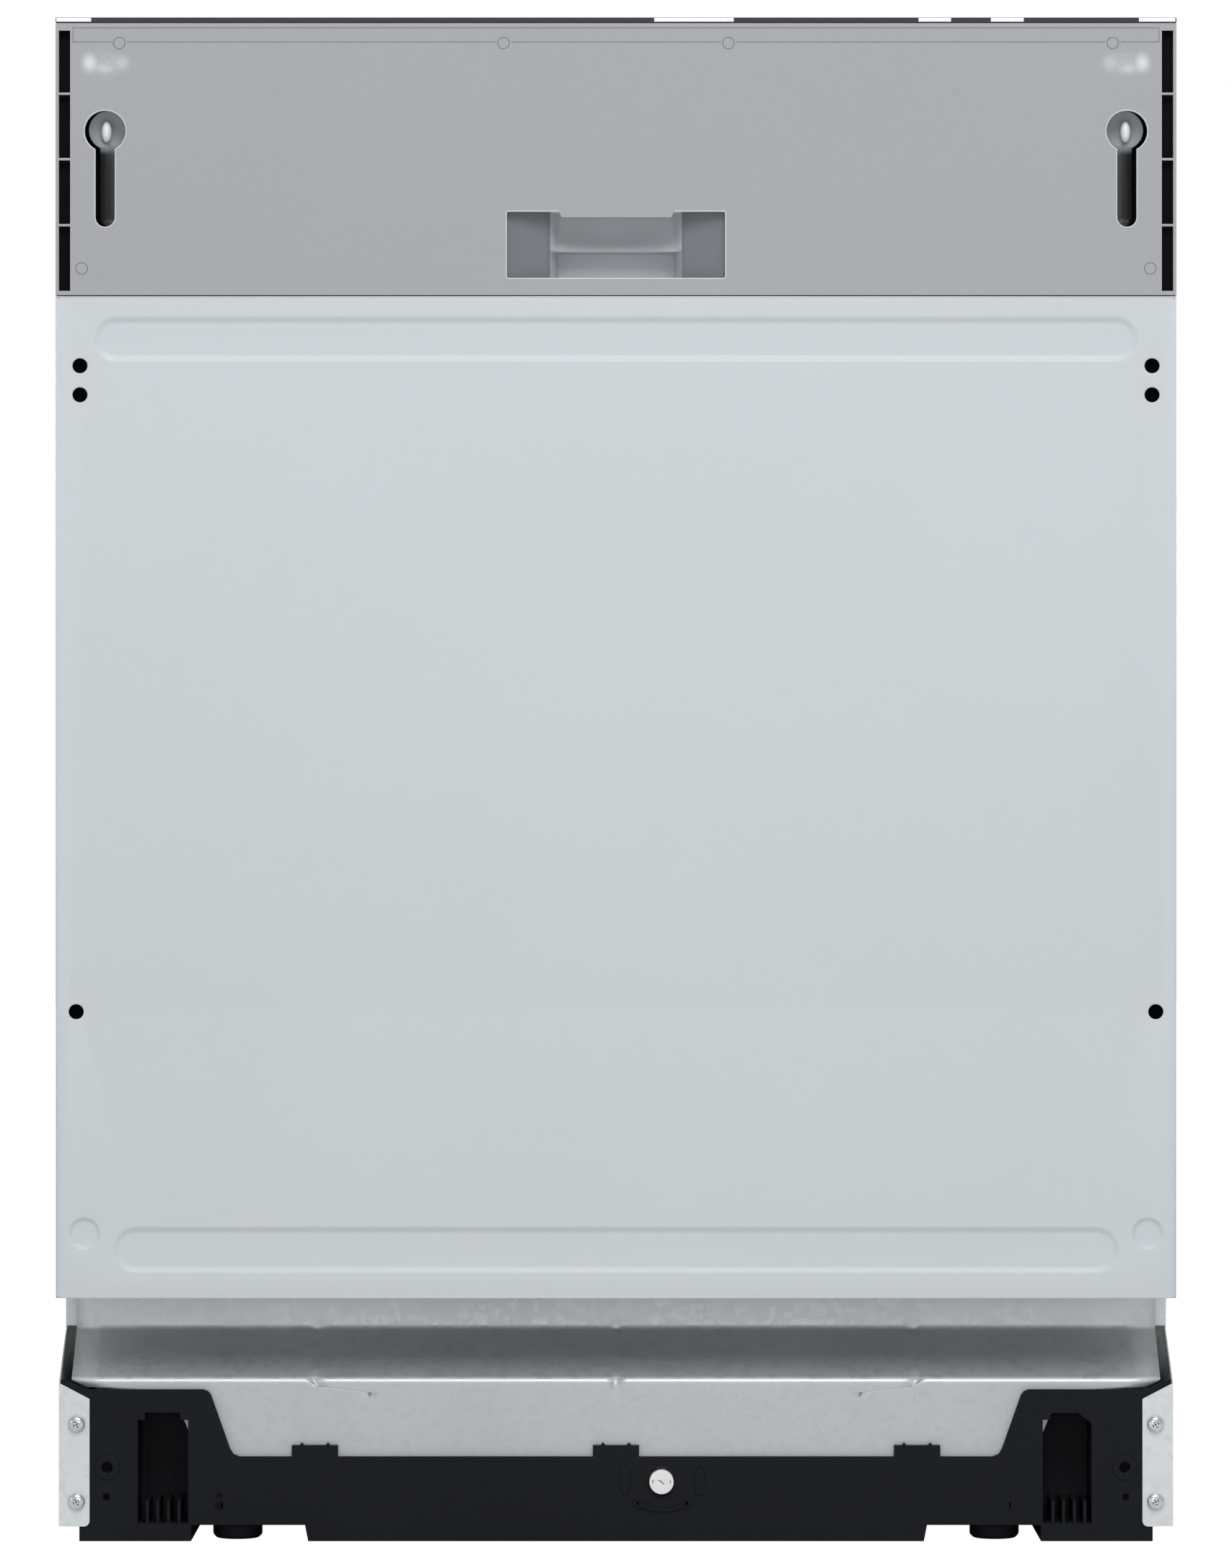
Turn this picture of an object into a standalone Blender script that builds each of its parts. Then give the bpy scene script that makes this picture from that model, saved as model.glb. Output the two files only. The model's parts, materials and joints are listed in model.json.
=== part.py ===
"""A built-in dishwasher of the 60 cm class, without its furniture front.

Metres, +Z up.  The front faces -Y, and the origin is on the floor under the cabinet's middle.
The door turns about a pin near its lower edge, the racks and spray arms are inside the tub, and
the rear foot is driven from the front by a long adjuster rod.
"""
import math

import bmesh
import bpy
from mathutils import Matrix, Vector

MM = 0.001

# Driving dimensions
WIDTH = 598 * MM
HEIGHT = 815 * MM
DEPTH = 550 * MM
GAP = 0.3 * MM
SHEET = 0.8 * MM
STEEL = 1.0 * MM

HALF_WIDTH = WIDTH / 2
FRONT = -DEPTH / 2
BACK = DEPTH / 2

# Door
PIVOT = (0.0, FRONT + 40 * MM, 145 * MM)
DOOR_BOTTOM = 131.7 * MM
DOOR_SPLIT = 666.7 * MM
DOOR_BACK = -212 * MM
DOOR_HALF = 298.7 * MM
STRIP_BOTTOM = 812.2 * MM
FASCIA_WALL = 2.5 * MM

# Cabinet front, behind the door's face
FLANGE_FRONT = -254.5 * MM
CARRIER_FRONT = -253.4 * MM
CARRIER_WALL = 4 * MM
KICK_FRONT = -248.6 * MM
KICK_BACK = -210.0 * MM
FLANGE_HALF = (282.4 * MM, HALF_WIDTH)

# Tub, measured on the inside
TUB_HALF = 262 * MM
TUB_FRONT = -205 * MM
TUB_BACK = 240 * MM
TUB_FLOOR = 150 * MM
TUB_TOP = 795 * MM
RIM_HALF = 276.5 * MM
RIM_TALL = 664 * MM

# Spray arms and sump
SPRAY_Y = 18 * MM
SPRAY_REACH = 203 * MM
SUMP_CENTRE = (30 * MM, -15 * MM)
FILTER_CENTRE = (55 * MM, -45 * MM)
SALT_CENTRE = (-165 * MM, 110 * MM)

# Feet
FRONT_FOOT = (204 * MM, -232 * MM)
REAR_FOOT = (0.0, 215 * MM)
ADJUSTER = (24.4 * MM, 32 * MM)

for old in list(bpy.data.objects):
    bpy.data.objects.remove(old, do_unlink=True)

scene = bpy.context.scene
parts = bpy.data.collections.new("built_in_dishwasher")
cutters = bpy.data.collections.new("cutters")
scene.collection.children.link(parts)
scene.collection.children.link(cutters)


# Materials ------------------------------------------------------------------

def make_material(name, colour, roughness, metallic=0.0):
    material = bpy.data.materials.new(name)
    material.use_nodes = True
    shader = material.node_tree.nodes["Principled BSDF"]
    shader.inputs["Base Color"].default_value = (*colour, 1.0)
    shader.inputs["Roughness"].default_value = roughness
    shader.inputs["Metallic"].default_value = metallic
    return material


GREY_PLASTIC = make_material("grey_plastic", (0.38, 0.39, 0.40), 0.45)
DARK_GREY_PLASTIC = make_material("dark_grey_plastic", (0.17, 0.19, 0.21), 0.5)
BLACK_PLASTIC = make_material("black_plastic", (0.012, 0.013, 0.015), 0.4)
BLACK_GLOSS = make_material("black_gloss", (0.006, 0.006, 0.007), 0.1)
PAINTED_STEEL = make_material("painted_steel", (0.55, 0.59, 0.61), 0.4)
GALVANISED = make_material("galvanised_steel", (0.5, 0.52, 0.53), 0.38, 0.9)
STAINLESS = make_material("stainless_steel", (0.62, 0.62, 0.61), 0.28, 1.0)
WHITE_PLASTIC = make_material("white_plastic", (0.75, 0.76, 0.76), 0.4)
RUBBER = make_material("rubber", (0.02, 0.02, 0.02), 0.75)
RACK_WIRE = make_material("rack_coating", (0.42, 0.43, 0.45), 0.4)
BITUMEN = make_material("bitumen", (0.03, 0.03, 0.032), 0.85)
GREEN_BOARD = make_material("circuit_board", (0.02, 0.16, 0.07), 0.5)
ZINC = make_material("zinc_plated", (0.68, 0.69, 0.7), 0.25, 1.0)


# Shapes ---------------------------------------------------------------------

def box(low, high):
    """A closed box between two corners."""
    low, high = Vector(low), Vector(high)
    mesh = bmesh.new()
    place = Matrix.Translation((low + high) / 2) @ Matrix.Diagonal((*(high - low), 1))
    bmesh.ops.create_cube(mesh, size=1, matrix=place)
    return mesh


AXIS_TURN = {
    "X": Matrix.Rotation(math.pi / 2, 4, "Y"),
    "Y": Matrix.Rotation(-math.pi / 2, 4, "X"),
    "Z": Matrix.Identity(4),
}


def rod(start, axis, length, radius, end_radius=None, sides=24):
    """A cylinder, or a cone, that runs from its start along +axis."""
    mesh = bmesh.new()
    direction = AXIS_TURN[axis] @ Vector((0, 0, 1))
    place = Matrix.Translation(Vector(start) + direction * (length / 2)) @ AXIS_TURN[axis]
    bmesh.ops.create_cone(
        mesh, cap_ends=True, segments=sides, radius1=radius,
        radius2=radius if end_radius is None else end_radius, depth=length, matrix=place)
    return mesh


def turned(profile, centre, sides=32):
    """A closed (radius, height) loop, spun about the vertical through the centre."""
    mesh = bmesh.new()
    ring = [mesh.verts.new((centre[0] + r, centre[1], z)) for r, z in profile]
    edges = [mesh.edges.new((ring[i], ring[i - 1])) for i in range(len(ring))]
    bmesh.ops.spin(
        mesh, geom=ring + edges, cent=(*centre[:2], 0), axis=(0, 0, 1),
        angle=2 * math.pi, steps=sides, use_merge=True)
    bmesh.ops.remove_doubles(mesh, verts=mesh.verts, dist=1e-6)
    bmesh.ops.recalc_face_normals(mesh, faces=mesh.faces)
    return mesh


def arc(centre, radius, start, end, steps):
    """Points on a circle, with its angles in degrees."""
    angles = [math.radians(start + (end - start) * i / steps) for i in range(steps + 1)]
    return [(centre[0] + radius * math.cos(a), centre[1] + radius * math.sin(a)) for a in angles]


def mirrored(half):
    """A closed outline from its right half, listed from the bottom centre to the top centre."""
    left = [(-u, v) for u, v in reversed(half) if abs(u) > 1e-9]
    return half + left


def stadium(half_length, low, high, steps=6):
    """A long slot outline with round ends."""
    radius, middle = (high - low) / 2, (high + low) / 2
    right = arc((half_length - radius, middle), radius, -90, 90, steps)
    left = arc((radius - half_length, middle), radius, 90, 270, steps)
    return right + left


def keyhole(centre, radius, slot_half, slot_bottom):
    """A round hole with a slot hanging from it."""
    meet = math.degrees(math.asin(slot_half / radius))
    circle = arc(centre, radius, -90 + meet, 270 - meet, 18)
    end = arc((centre[0], slot_bottom + slot_half), slot_half, 180, 360, 6)
    return circle + end


def plate(loops, axis, low, high):
    """A flat outline, with any holes, extruded along an axis; the outline is in the other two."""
    curve = bpy.data.curves.new("outline", "CURVE")
    curve.dimensions = "2D"
    curve.fill_mode = "BOTH"
    curve.extrude = abs(high - low) / 2
    curve.render_resolution_u = 0
    for loop in loops:
        spline = curve.splines.new("POLY")
        spline.points.add(len(loop) - 1)
        for point, (u, v) in zip(spline.points, loop):
            point.co = (u, v, 0, 1)
        spline.use_cyclic_u = True
    holder = bpy.data.objects.new("outline", curve)
    scene.collection.objects.link(holder)
    graph = bpy.context.evaluated_depsgraph_get()
    flat = bpy.data.meshes.new_from_object(holder.evaluated_get(graph))
    bpy.data.objects.remove(holder, do_unlink=True)
    mesh = bmesh.new()
    mesh.from_mesh(flat)
    bmesh.ops.remove_doubles(mesh, verts=mesh.verts, dist=1e-6)
    middle = (low + high) / 2
    if axis == "Y":
        turn = Matrix.Translation((0, middle, 0)) @ Matrix.Rotation(math.pi / 2, 4, "X")
    elif axis == "X":
        turn = Matrix.Translation((middle, 0, 0)) @ Matrix(
            ((0, 0, 1, 0), (1, 0, 0, 0), (0, 1, 0, 0), (0, 0, 0, 1)))
    else:
        turn = Matrix.Translation((0, 0, middle))
    bmesh.ops.transform(mesh, matrix=turn, verts=mesh.verts)
    return mesh


def tube(points, radius, name):
    """A round wire through the points, as a closed mesh."""
    curve = bpy.data.curves.new(name, "CURVE")
    curve.dimensions = "3D"
    curve.bevel_depth = radius
    curve.bevel_resolution = 2
    curve.use_fill_caps = True
    curve.render_resolution_u = 0
    spline = curve.splines.new("POLY")
    spline.points.add(len(points) - 1)
    for point, place in zip(spline.points, points):
        point.co = (*place, 1)
    holder = bpy.data.objects.new(name, curve)
    scene.collection.objects.link(holder)
    graph = bpy.context.evaluated_depsgraph_get()
    swept = bpy.data.meshes.new_from_object(holder.evaluated_get(graph))
    bpy.data.objects.remove(holder, do_unlink=True)
    mesh = bmesh.new()
    mesh.from_mesh(swept)
    bmesh.ops.remove_doubles(mesh, verts=mesh.verts, dist=1e-6)
    bmesh.ops.recalc_face_normals(mesh, faces=mesh.faces)
    return mesh


def gather(meshes):
    """Several closed shapes in one mesh."""
    whole = bmesh.new()
    for mesh in meshes:
        loose = bpy.data.meshes.new("loose")
        mesh.to_mesh(loose)
        mesh.free()
        whole.from_mesh(loose)
        bpy.data.meshes.remove(loose)
    return whole


def boolean(thing, operation, meshes):
    """Join shapes to an object, or cut them out of it."""
    tool_mesh = gather(meshes)
    tool_mesh.normal_update()
    data = bpy.data.meshes.new(thing.name + "_" + operation.lower())
    tool_mesh.to_mesh(data)
    tool_mesh.free()
    tool = bpy.data.objects.new(data.name, data)
    tool.hide_render = True
    tool.display_type = "WIRE"
    cutters.objects.link(tool)
    modifier = thing.modifiers.new(operation.lower(), "BOOLEAN")
    modifier.operation = operation
    modifier.object = tool
    modifier.solver = "EXACT"
    modifier.use_self = len(meshes) > 1


def part(name, material, base, joined=(), cut=(), ribs=(), origin=(0, 0, 0), axle=None):
    """One named piece: a base shape, shapes joined to it, shapes cut from it, then ribs."""
    data = bpy.data.meshes.new(name)
    bmesh.ops.translate(base, vec=-Vector(origin), verts=base.verts)
    base.to_mesh(data)
    base.free()
    data.materials.append(material)
    data.shade_smooth()
    data.set_sharp_from_angle(angle=math.radians(35))
    thing = bpy.data.objects.new(name, data)
    parts.objects.link(thing)
    thing.location = origin
    if axle is not None:
        thing.parent = axle
        thing.location = Vector(origin) - axle.location
    if joined:
        boolean(thing, "UNION", joined)
    if cut:
        boolean(thing, "DIFFERENCE", cut)
    if ribs:
        boolean(thing, "UNION", ribs)
    return thing


def pivot(name, place):
    """An empty on a joint's axis, which the joint's pieces hang from."""
    empty = bpy.data.objects.new(name, None)
    empty.location = place
    parts.objects.link(empty)
    return empty


def both_sides():
    return (("left", -1), ("right", 1))


# Cabinet --------------------------------------------------------------------

POCKET_LOW = 9.7 * MM
POCKET_TOP = 65.1 * MM
CARRIER_BACK = 250 * MM
FLOOR_PLATE = (12 * MM, 15 * MM)
FOOT_CLEAR = 8.7 * MM


def carrier_outline():
    """The right half of the base carrier's front wall, from the bottom centre round to the top."""
    tab_half, tab_top, middle_top, spike = 12.4 * MM, 51.4 * MM, 45.3 * MM, 1.5 * MM

    def tab(centre, whole=True):
        right = [(centre + tab_half, middle_top), (centre + tab_half, tab_top),
                 (centre + 8.2 * MM, tab_top), (centre + 7 * MM, tab_top + spike),
                 (centre + 5.8 * MM, tab_top)]
        left = [(2 * centre - u, v) for u, v in reversed(right)]
        return right + left if whole else right

    return [
        (0, 0), (165.2 * MM, 0), (166.9 * MM, FOOT_CLEAR), (228 * MM, FOOT_CLEAR), (228 * MM, 0),
        (288 * MM, 0), (288 * MM, 8 * MM), (297.5 * MM, 8 * MM), (297.5 * MM, 86.5 * MM),
        (295 * MM, 86.5 * MM), (284.3 * MM, 81.3 * MM), (221.5 * MM, 81.3 * MM),
        (219 * MM, 80.4 * MM), (217.4 * MM, 78.4 * MM), (207.2 * MM, 49.6 * MM),
        (205.4 * MM, 46.6 * MM), (202 * MM, middle_top),
        *tab(161.6 * MM), *tab(0, whole=False), (0, tab_top)]


def pocket_outline(sign):
    """The left pocket has a notch in its top, the right one a cut corner."""
    if sign < 0:
        return [(-256.7 * MM, POCKET_LOW), (-229.6 * MM, POCKET_LOW), (-229.6 * MM, POCKET_TOP),
                (-233.8 * MM, POCKET_TOP), (-233.8 * MM, 69 * MM), (-252.9 * MM, 69 * MM),
                (-252.9 * MM, POCKET_TOP), (-256.7 * MM, POCKET_TOP)]
    return [(229 * MM, POCKET_LOW), (255.2 * MM, POCKET_LOW), (255.2 * MM, 63.1 * MM),
            (248.1 * MM, 68.8 * MM), (233 * MM, 68.8 * MM), (233 * MM, POCKET_TOP),
            (229 * MM, POCKET_TOP)]


def base_carrier():
    wall_back = CARRIER_FRONT + CARRIER_WALL
    housing_back, pocket_back = wall_back + 35 * MM, wall_back + 33 * MM
    side_in = 294.5 * MM
    side_out = 297.5 * MM
    side_top = 60 * MM
    foot_boss, foot_bore, rear_bore = 9 * MM, 4.5 * MM, 5.5 * MM
    boss_top = 26 * MM
    low, high = FLOOR_PLATE
    joined = [
        box((-side_out, wall_back - 1 * MM, low), (side_out, CARRIER_BACK, high)),
        box((-side_out, CARRIER_BACK - 3 * MM, low), (side_out, CARRIER_BACK, side_top)),
        box((-165 * MM, wall_back - 1 * MM, 0), (165 * MM, -100 * MM, low + 1 * MM)),
        box((ADJUSTER[0] - 9 * MM, 160 * MM, low), (ADJUSTER[0] + 9 * MM, 172 * MM, 40 * MM)),
        rod((*REAR_FOOT, low), "Z", 12 * MM, foot_boss),
    ]
    cut = [
        rod((ADJUSTER[0], CARRIER_FRONT - 2 * MM, ADJUSTER[1]), "Y", 9 * MM, 7.9 * MM),
        rod((ADJUSTER[0], 150 * MM, ADJUSTER[1]), "Y", 30 * MM, 3.6 * MM, sides=16),
        rod((*REAR_FOOT, 0), "Z", 40 * MM, rear_bore, sides=16),
    ]
    ribs = []
    for _, sign in both_sides():
        inner, outer = sorted((sign * side_in, sign * side_out))
        joined.append(box((inner, wall_back - 1 * MM, low), (outer, CARRIER_BACK, side_top)))
        runner = sorted((sign * 228 * MM, sign * 288 * MM))
        joined.append(box((runner[0], wall_back - 1 * MM, 0),
                          (runner[1], CARRIER_BACK - 5 * MM, low + 1 * MM)))
        housing = sorted((sign * 227.3 * MM, sign * 258.7 * MM))
        joined.append(box((housing[0], wall_back - 1 * MM, 7.7 * MM),
                          (housing[1], housing_back, 71 * MM)))
        joined.append(rod((sign * FRONT_FOOT[0], FRONT_FOOT[1], low), "Z", boss_top - low,
                          foot_boss))
        joined.append(rod((sign * 273 * MM, CARRIER_FRONT - 0.8 * MM, 39.7 * MM), "Y", 3 * MM,
                          6.6 * MM))
        cut.append(plate([pocket_outline(sign)], "Y", CARRIER_FRONT - 2 * MM, pocket_back))
        cut.append(rod((sign * FRONT_FOOT[0], FRONT_FOOT[1], 0), "Z", 40 * MM, foot_bore,
                       sides=16))
        cut.append(rod((sign * 273 * MM, CARRIER_FRONT - 3 * MM, 39.7 * MM), "Y", 12 * MM,
                       3.1 * MM, sides=16))
        for x, z, half in ((273.4 * MM, 23.8 * MM, 1.7 * MM), (213 * MM, 18.9 * MM, 2 * MM)):
            cut.append(box((sign * x - half, CARRIER_FRONT - 2 * MM, z - half),
                           (sign * x + half, wall_back + 1 * MM, z + half)))
        cut.append(rod((sign * 213 * MM, CARRIER_FRONT - 2 * MM, 24.7 * MM), "Y", 8 * MM,
                       1.7 * MM, sides=12))
        for z in SCREW_HEIGHTS:
            cut.append(rod((sign * SCREW_X, CARRIER_FRONT - 2 * MM, z), "Y", 12 * MM, 2.3 * MM,
                           sides=12))
        for x in (234.5 * MM, 240.2 * MM, 246 * MM, 251.6 * MM):
            ribs.append(box((sign * x - 0.8 * MM, CARRIER_FRONT + 1 * MM, POCKET_LOW - 1 * MM),
                            (sign * x + 0.8 * MM, pocket_back + 1 * MM, 21.6 * MM)))
    part("base_carrier", BLACK_PLASTIC,
         plate([mirrored(carrier_outline())], "Y", CARRIER_FRONT, wall_back), joined, cut, ribs)


SCREW_X = 289.3 * MM
SCREW_HEIGHTS = (62.9 * MM, 21.4 * MM)
SIDE_TOP = 812 * MM
RAMP_TOP = 110 * MM
FLANGE_TOP = 85.1 * MM
FLANGE_BOTTOM = 8 * MM


def side_panels():
    """Folded sheets with a corner flange low down at the front and returns front and rear."""
    corner = 3 * MM
    for side, sign in both_sides():
        outline = [(FLANGE_FRONT, FLANGE_BOTTOM), (BACK, FLANGE_BOTTOM), (BACK, SIDE_TOP),
                   (TUB_FRONT, SIDE_TOP), (TUB_FRONT, RAMP_TOP), (FLANGE_FRONT, FLANGE_TOP)]
        face_in, face_out = sorted((sign * (HALF_WIDTH - SHEET), sign * HALF_WIDTH))
        inner, outer = FLANGE_HALF
        flange = [(sign * u, v) for u, v in (
            *arc((inner + corner, FLANGE_BOTTOM + corner), corner, 180, 270, 4),
            (outer, FLANGE_BOTTOM), (outer, FLANGE_TOP), (inner, 76.4 * MM))]
        return_in, return_out = sorted((sign * 285 * MM, sign * HALF_WIDTH))
        joined = [
            plate([flange], "Y", FLANGE_FRONT, FLANGE_FRONT + SHEET),
            box((return_in, TUB_FRONT, RAMP_TOP + 2 * MM),
                (return_out, TUB_FRONT + SHEET, SIDE_TOP)),
            box((return_in, BACK - SHEET, FLANGE_BOTTOM + 4 * MM), (return_out, BACK, SIDE_TOP)),
        ]
        cut = [rod((sign * SCREW_X, FLANGE_FRONT - 1 * MM, z), "Y", 3 * MM, 2.3 * MM, sides=12)
               for z in SCREW_HEIGHTS]
        part("side_panel_" + side, GALVANISED, plate([outline], "X", face_in, face_out),
             joined, cut)


def flange_screws():
    """Pan head screws that hold the corner flanges to the base carrier."""
    for side, sign in both_sides():
        for place, z in zip(("upper", "lower"), SCREW_HEIGHTS):
            x = sign * SCREW_X
            head_back = FLANGE_FRONT - GAP
            part("flange_screw_" + side + "_" + place, ZINC,
                 rod((x, head_back - 2.6 * MM, z), "Y", 2.6 * MM, 3.2 * MM, 4.5 * MM, sides=20),
                 [rod((x, head_back - 0.2 * MM, z), "Y", 9 * MM, 1.9 * MM, sides=12)])


def kick_plate():
    """One folded sheet: an upright strip, a ramp that slopes forward, and a lower apron."""
    half_full, half_low = 292.4 * MM, 222 * MM
    profile = [(KICK_BACK, 138 * MM), (KICK_BACK, 110.6 * MM), (KICK_FRONT, 86 * MM),
               (KICK_FRONT, 82.5 * MM), (KICK_FRONT, 41 * MM)]
    columns = [-half_full, -half_low, half_low, half_full]
    mesh = bmesh.new()
    bmesh.ops.create_grid(mesh, x_segments=3, y_segments=len(profile) - 1, size=1)
    mesh.verts.ensure_lookup_table()
    ordered = sorted(mesh.verts, key=lambda vert: (round(vert.co.y, 4), round(vert.co.x, 4)))
    for index, vert in enumerate(ordered):
        y, z = profile[len(profile) - 1 - index // len(columns)]
        vert.co = (columns[index % len(columns)], y, z)
    bmesh.ops.recalc_face_normals(mesh, faces=mesh.faces)
    corners = [face for face in mesh.faces
               if face.calc_center_median().z < 80 * MM
               and abs(face.calc_center_median().x) > half_low]
    bmesh.ops.delete(mesh, geom=corners, context="FACES")
    sheet = part("kick_plate", GALVANISED, mesh)
    solidify = sheet.modifiers.new("sheet", "SOLIDIFY")
    solidify.thickness = SHEET
    solidify.offset = 0


def top_brace():
    """A channel across the top, with the worktop slots and the latch striker."""
    low, high = 804.8 * MM, 812.4 * MM
    front, back = -203.2 * MM, -165 * MM
    half = 297.4 * MM
    base = box((-half, front, high - SHEET), (half, back, high))
    joined = [box((-half, front, low), (half, front + SHEET, high)),
              box((-half, back - SHEET, low), (half, back, high)),
              box((-10 * MM, -226 * MM, 806.5 * MM), (10 * MM, back, 808.5 * MM))]
    cut = [box((sign * x - 4 * MM, -190 * MM, low), (sign * x + 4 * MM, -178 * MM, high + 1 * MM))
           for x in (90 * MM, 240 * MM) for sign in (-1, 1)]
    part("top_brace", GALVANISED, base, joined, cut)


def back_panel():
    part("back_panel", GALVANISED,
         box((-297 * MM, 272.8 * MM, 100 * MM), (297 * MM, 272.8 * MM + SHEET, 808 * MM)))


# Tub and what is in it ------------------------------------------------------

def tub():
    """An open-fronted steel box with rounded corners, a sealing rim and holes in its floor."""
    mesh = box((-TUB_HALF, TUB_FRONT, TUB_FLOOR), (TUB_HALF, TUB_BACK, TUB_TOP))
    mouth = min(mesh.faces, key=lambda face: face.calc_center_median().y)
    bmesh.ops.delete(mesh, geom=[mouth], context="FACES")
    deep = [edge for edge in mesh.edges if not edge.is_boundary]
    bmesh.ops.bevel(mesh, geom=deep, offset=16 * MM, segments=2, profile=0.5, affect="EDGES",
                    material=-1)
    edge_loop = [edge for edge in mesh.edges if edge.is_boundary]
    grown = bmesh.ops.extrude_edge_only(mesh, edges=edge_loop)["geom"]
    middle = (TUB_FLOOR + TUB_TOP) / 2
    for vert in (item for item in grown if isinstance(item, bmesh.types.BMVert)):
        vert.co.x *= RIM_HALF / TUB_HALF
        vert.co.z = middle + (vert.co.z - middle) * (RIM_TALL / (TUB_TOP - TUB_FLOOR))
    bmesh.ops.recalc_face_normals(mesh, faces=mesh.faces)
    roof = max(mesh.faces, key=lambda face: face.calc_center_median().z
               if abs(face.normal.z) > 0.9 else 0)
    if roof.normal.z < 0:
        bmesh.ops.reverse_faces(mesh, faces=mesh.faces)
    thing = part("tub", STAINLESS, mesh)
    solidify = thing.modifiers.new("steel", "SOLIDIFY")
    solidify.thickness = STEEL
    solidify.offset = 1
    below = TUB_FLOOR - 5 * MM
    boolean(thing, "DIFFERENCE", [
        rod((*SUMP_CENTRE, below), "Z", 10 * MM, 90 * MM, sides=40),
        rod((*SALT_CENTRE, below), "Z", 10 * MM, 30 * MM)])


def tub_gasket():
    """A rubber tube round the sides and top of the tub's mouth."""
    x, low, high, bend = 269 * MM, 156 * MM, 799.5 * MM, 18 * MM
    right = [(x, low)] + arc((x - bend, high - bend), bend, 0, 90, 5)
    path = right + [(-u, v) for u, v in reversed(right)]
    y = (DOOR_BACK + TUB_FRONT) / 2
    part("tub_gasket", RUBBER, tube([(u, y, v) for u, v in path], 2.7 * MM, "gasket"))


def top_insulation():
    part("top_insulation", BITUMEN,
         box((-256 * MM, -160 * MM, 796.5 * MM), (256 * MM, 236 * MM, 803 * MM)))


def sump():
    """The bowl under the floor, with the upright feed pipe of the lower spray arm."""
    floor_under = TUB_FLOOR - STEEL - GAP
    bowl = [(20 * MM, 82 * MM), (80 * MM, 82 * MM), (88 * MM, 90 * MM), (88 * MM, 142 * MM),
            (98 * MM, 142 * MM), (98 * MM, floor_under), (84 * MM, floor_under),
            (84 * MM, 92 * MM), (77 * MM, 86 * MM), (20 * MM, 86 * MM)]
    part("sump", BLACK_PLASTIC, turned(bowl, SUMP_CENTRE, 28),
         [rod((*SUMP_CENTRE, 82 * MM), "Z", 4 * MM, 30 * MM),
          rod((0, SPRAY_Y, 83 * MM), "Z", 95 * MM, 12 * MM)])


def filters():
    x, y = FILTER_CENTRE
    plate_low = TUB_FLOOR + 0.5 * MM
    part("filter_plate", STAINLESS, rod((*SUMP_CENTRE, plate_low), "Z", 2 * MM, 100 * MM, sides=36),
         cut=[rod((0, SPRAY_Y, plate_low - 1 * MM), "Z", 4 * MM, 14 * MM),
              rod((x, y, plate_low - 1 * MM), "Z", 4 * MM, 36 * MM)])
    cup = [(1 * MM, 100 * MM), (33 * MM, 100 * MM), (33 * MM, 152.9 * MM), (40 * MM, 152.9 * MM),
           (40 * MM, 157 * MM), (30 * MM, 157 * MM), (30 * MM, 103 * MM), (1 * MM, 103 * MM)]
    axle = pivot("filter_axis", (x, y, 0))
    part("filter_cup", DARK_GREY_PLASTIC, turned(cup, FILTER_CENTRE, 24),
         [rod((x, y, 100 * MM), "Z", 3 * MM, 5 * MM, sides=12),
          box((x - 34 * MM, y - 2 * MM, 154 * MM), (x + 34 * MM, y + 2 * MM, 169 * MM))],
         origin=(x, y, 0), axle=axle)


def softener():
    x, y = SALT_CENTRE
    part("water_softener", WHITE_PLASTIC,
         box((-228 * MM, 58 * MM, 30 * MM), (-115 * MM, 166 * MM, 145 * MM)),
         [rod((x, y, 140 * MM), "Z", 11 * MM, 28 * MM)],
         [rod((x, y, 60 * MM), "Z", 100 * MM, 22 * MM)])
    axle = pivot("salt_cap_axis", (x, y, 0))
    part("salt_cap", WHITE_PLASTIC, rod((x, y, 151.5 * MM), "Z", 9 * MM, 36 * MM, sides=28),
         [box((x - 30 * MM, y - 4 * MM, 158 * MM), (x + 30 * MM, y + 4 * MM, 168 * MM))],
         origin=(x, y, 0), axle=axle)


def pumps():
    part("circulation_pump", BLACK_PLASTIC,
         rod((-142 * MM, -30 * MM, 78 * MM), "X", 62 * MM, 34 * MM),
         [rod((-82 * MM, -30 * MM, 78 * MM), "X", 20 * MM, 26 * MM)])
    part("drain_pump", WHITE_PLASTIC,
         rod((121 * MM, 25 * MM, 78 * MM), "X", 30 * MM, 28 * MM),
         [rod((150 * MM, 25 * MM, 78 * MM), "X", 40 * MM, 22 * MM)])


def rear_fittings():
    """The water inlet, the drain spigot and the mains gland, on the carrier's rear wall."""
    front = CARRIER_BACK + GAP
    part("inlet_valve", WHITE_PLASTIC,
         box((200 * MM, front, 22 * MM), (250 * MM, 262 * MM, 58 * MM)),
         [rod((225 * MM, 261 * MM, 40 * MM), "Y", BACK - 261 * MM, 12 * MM)],
         [rod((225 * MM, 255 * MM, 40 * MM), "Y", 30 * MM, 8 * MM)])
    part("drain_outlet", BLACK_PLASTIC,
         box((128 * MM, front, 24 * MM), (164 * MM, 254 * MM, 56 * MM)),
         [rod((146 * MM, 253 * MM, 40 * MM), "Y", BACK - 253 * MM, 11 * MM)],
         [rod((146 * MM, 252 * MM, 40 * MM), "Y", 30 * MM, 8 * MM)])
    part("mains_inlet", BLACK_PLASTIC,
         box((-250 * MM, front, 20 * MM), (-195 * MM, 266 * MM, 58 * MM)),
         [rod((-222 * MM, 265 * MM, 39 * MM), "Y", BACK - 265 * MM, 8 * MM)],
         [rod((-222 * MM, 258 * MM, 39 * MM), "Y", 30 * MM, 4 * MM, sides=16)])


# Racks, basket and spray arms -----------------------------------------------

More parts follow.
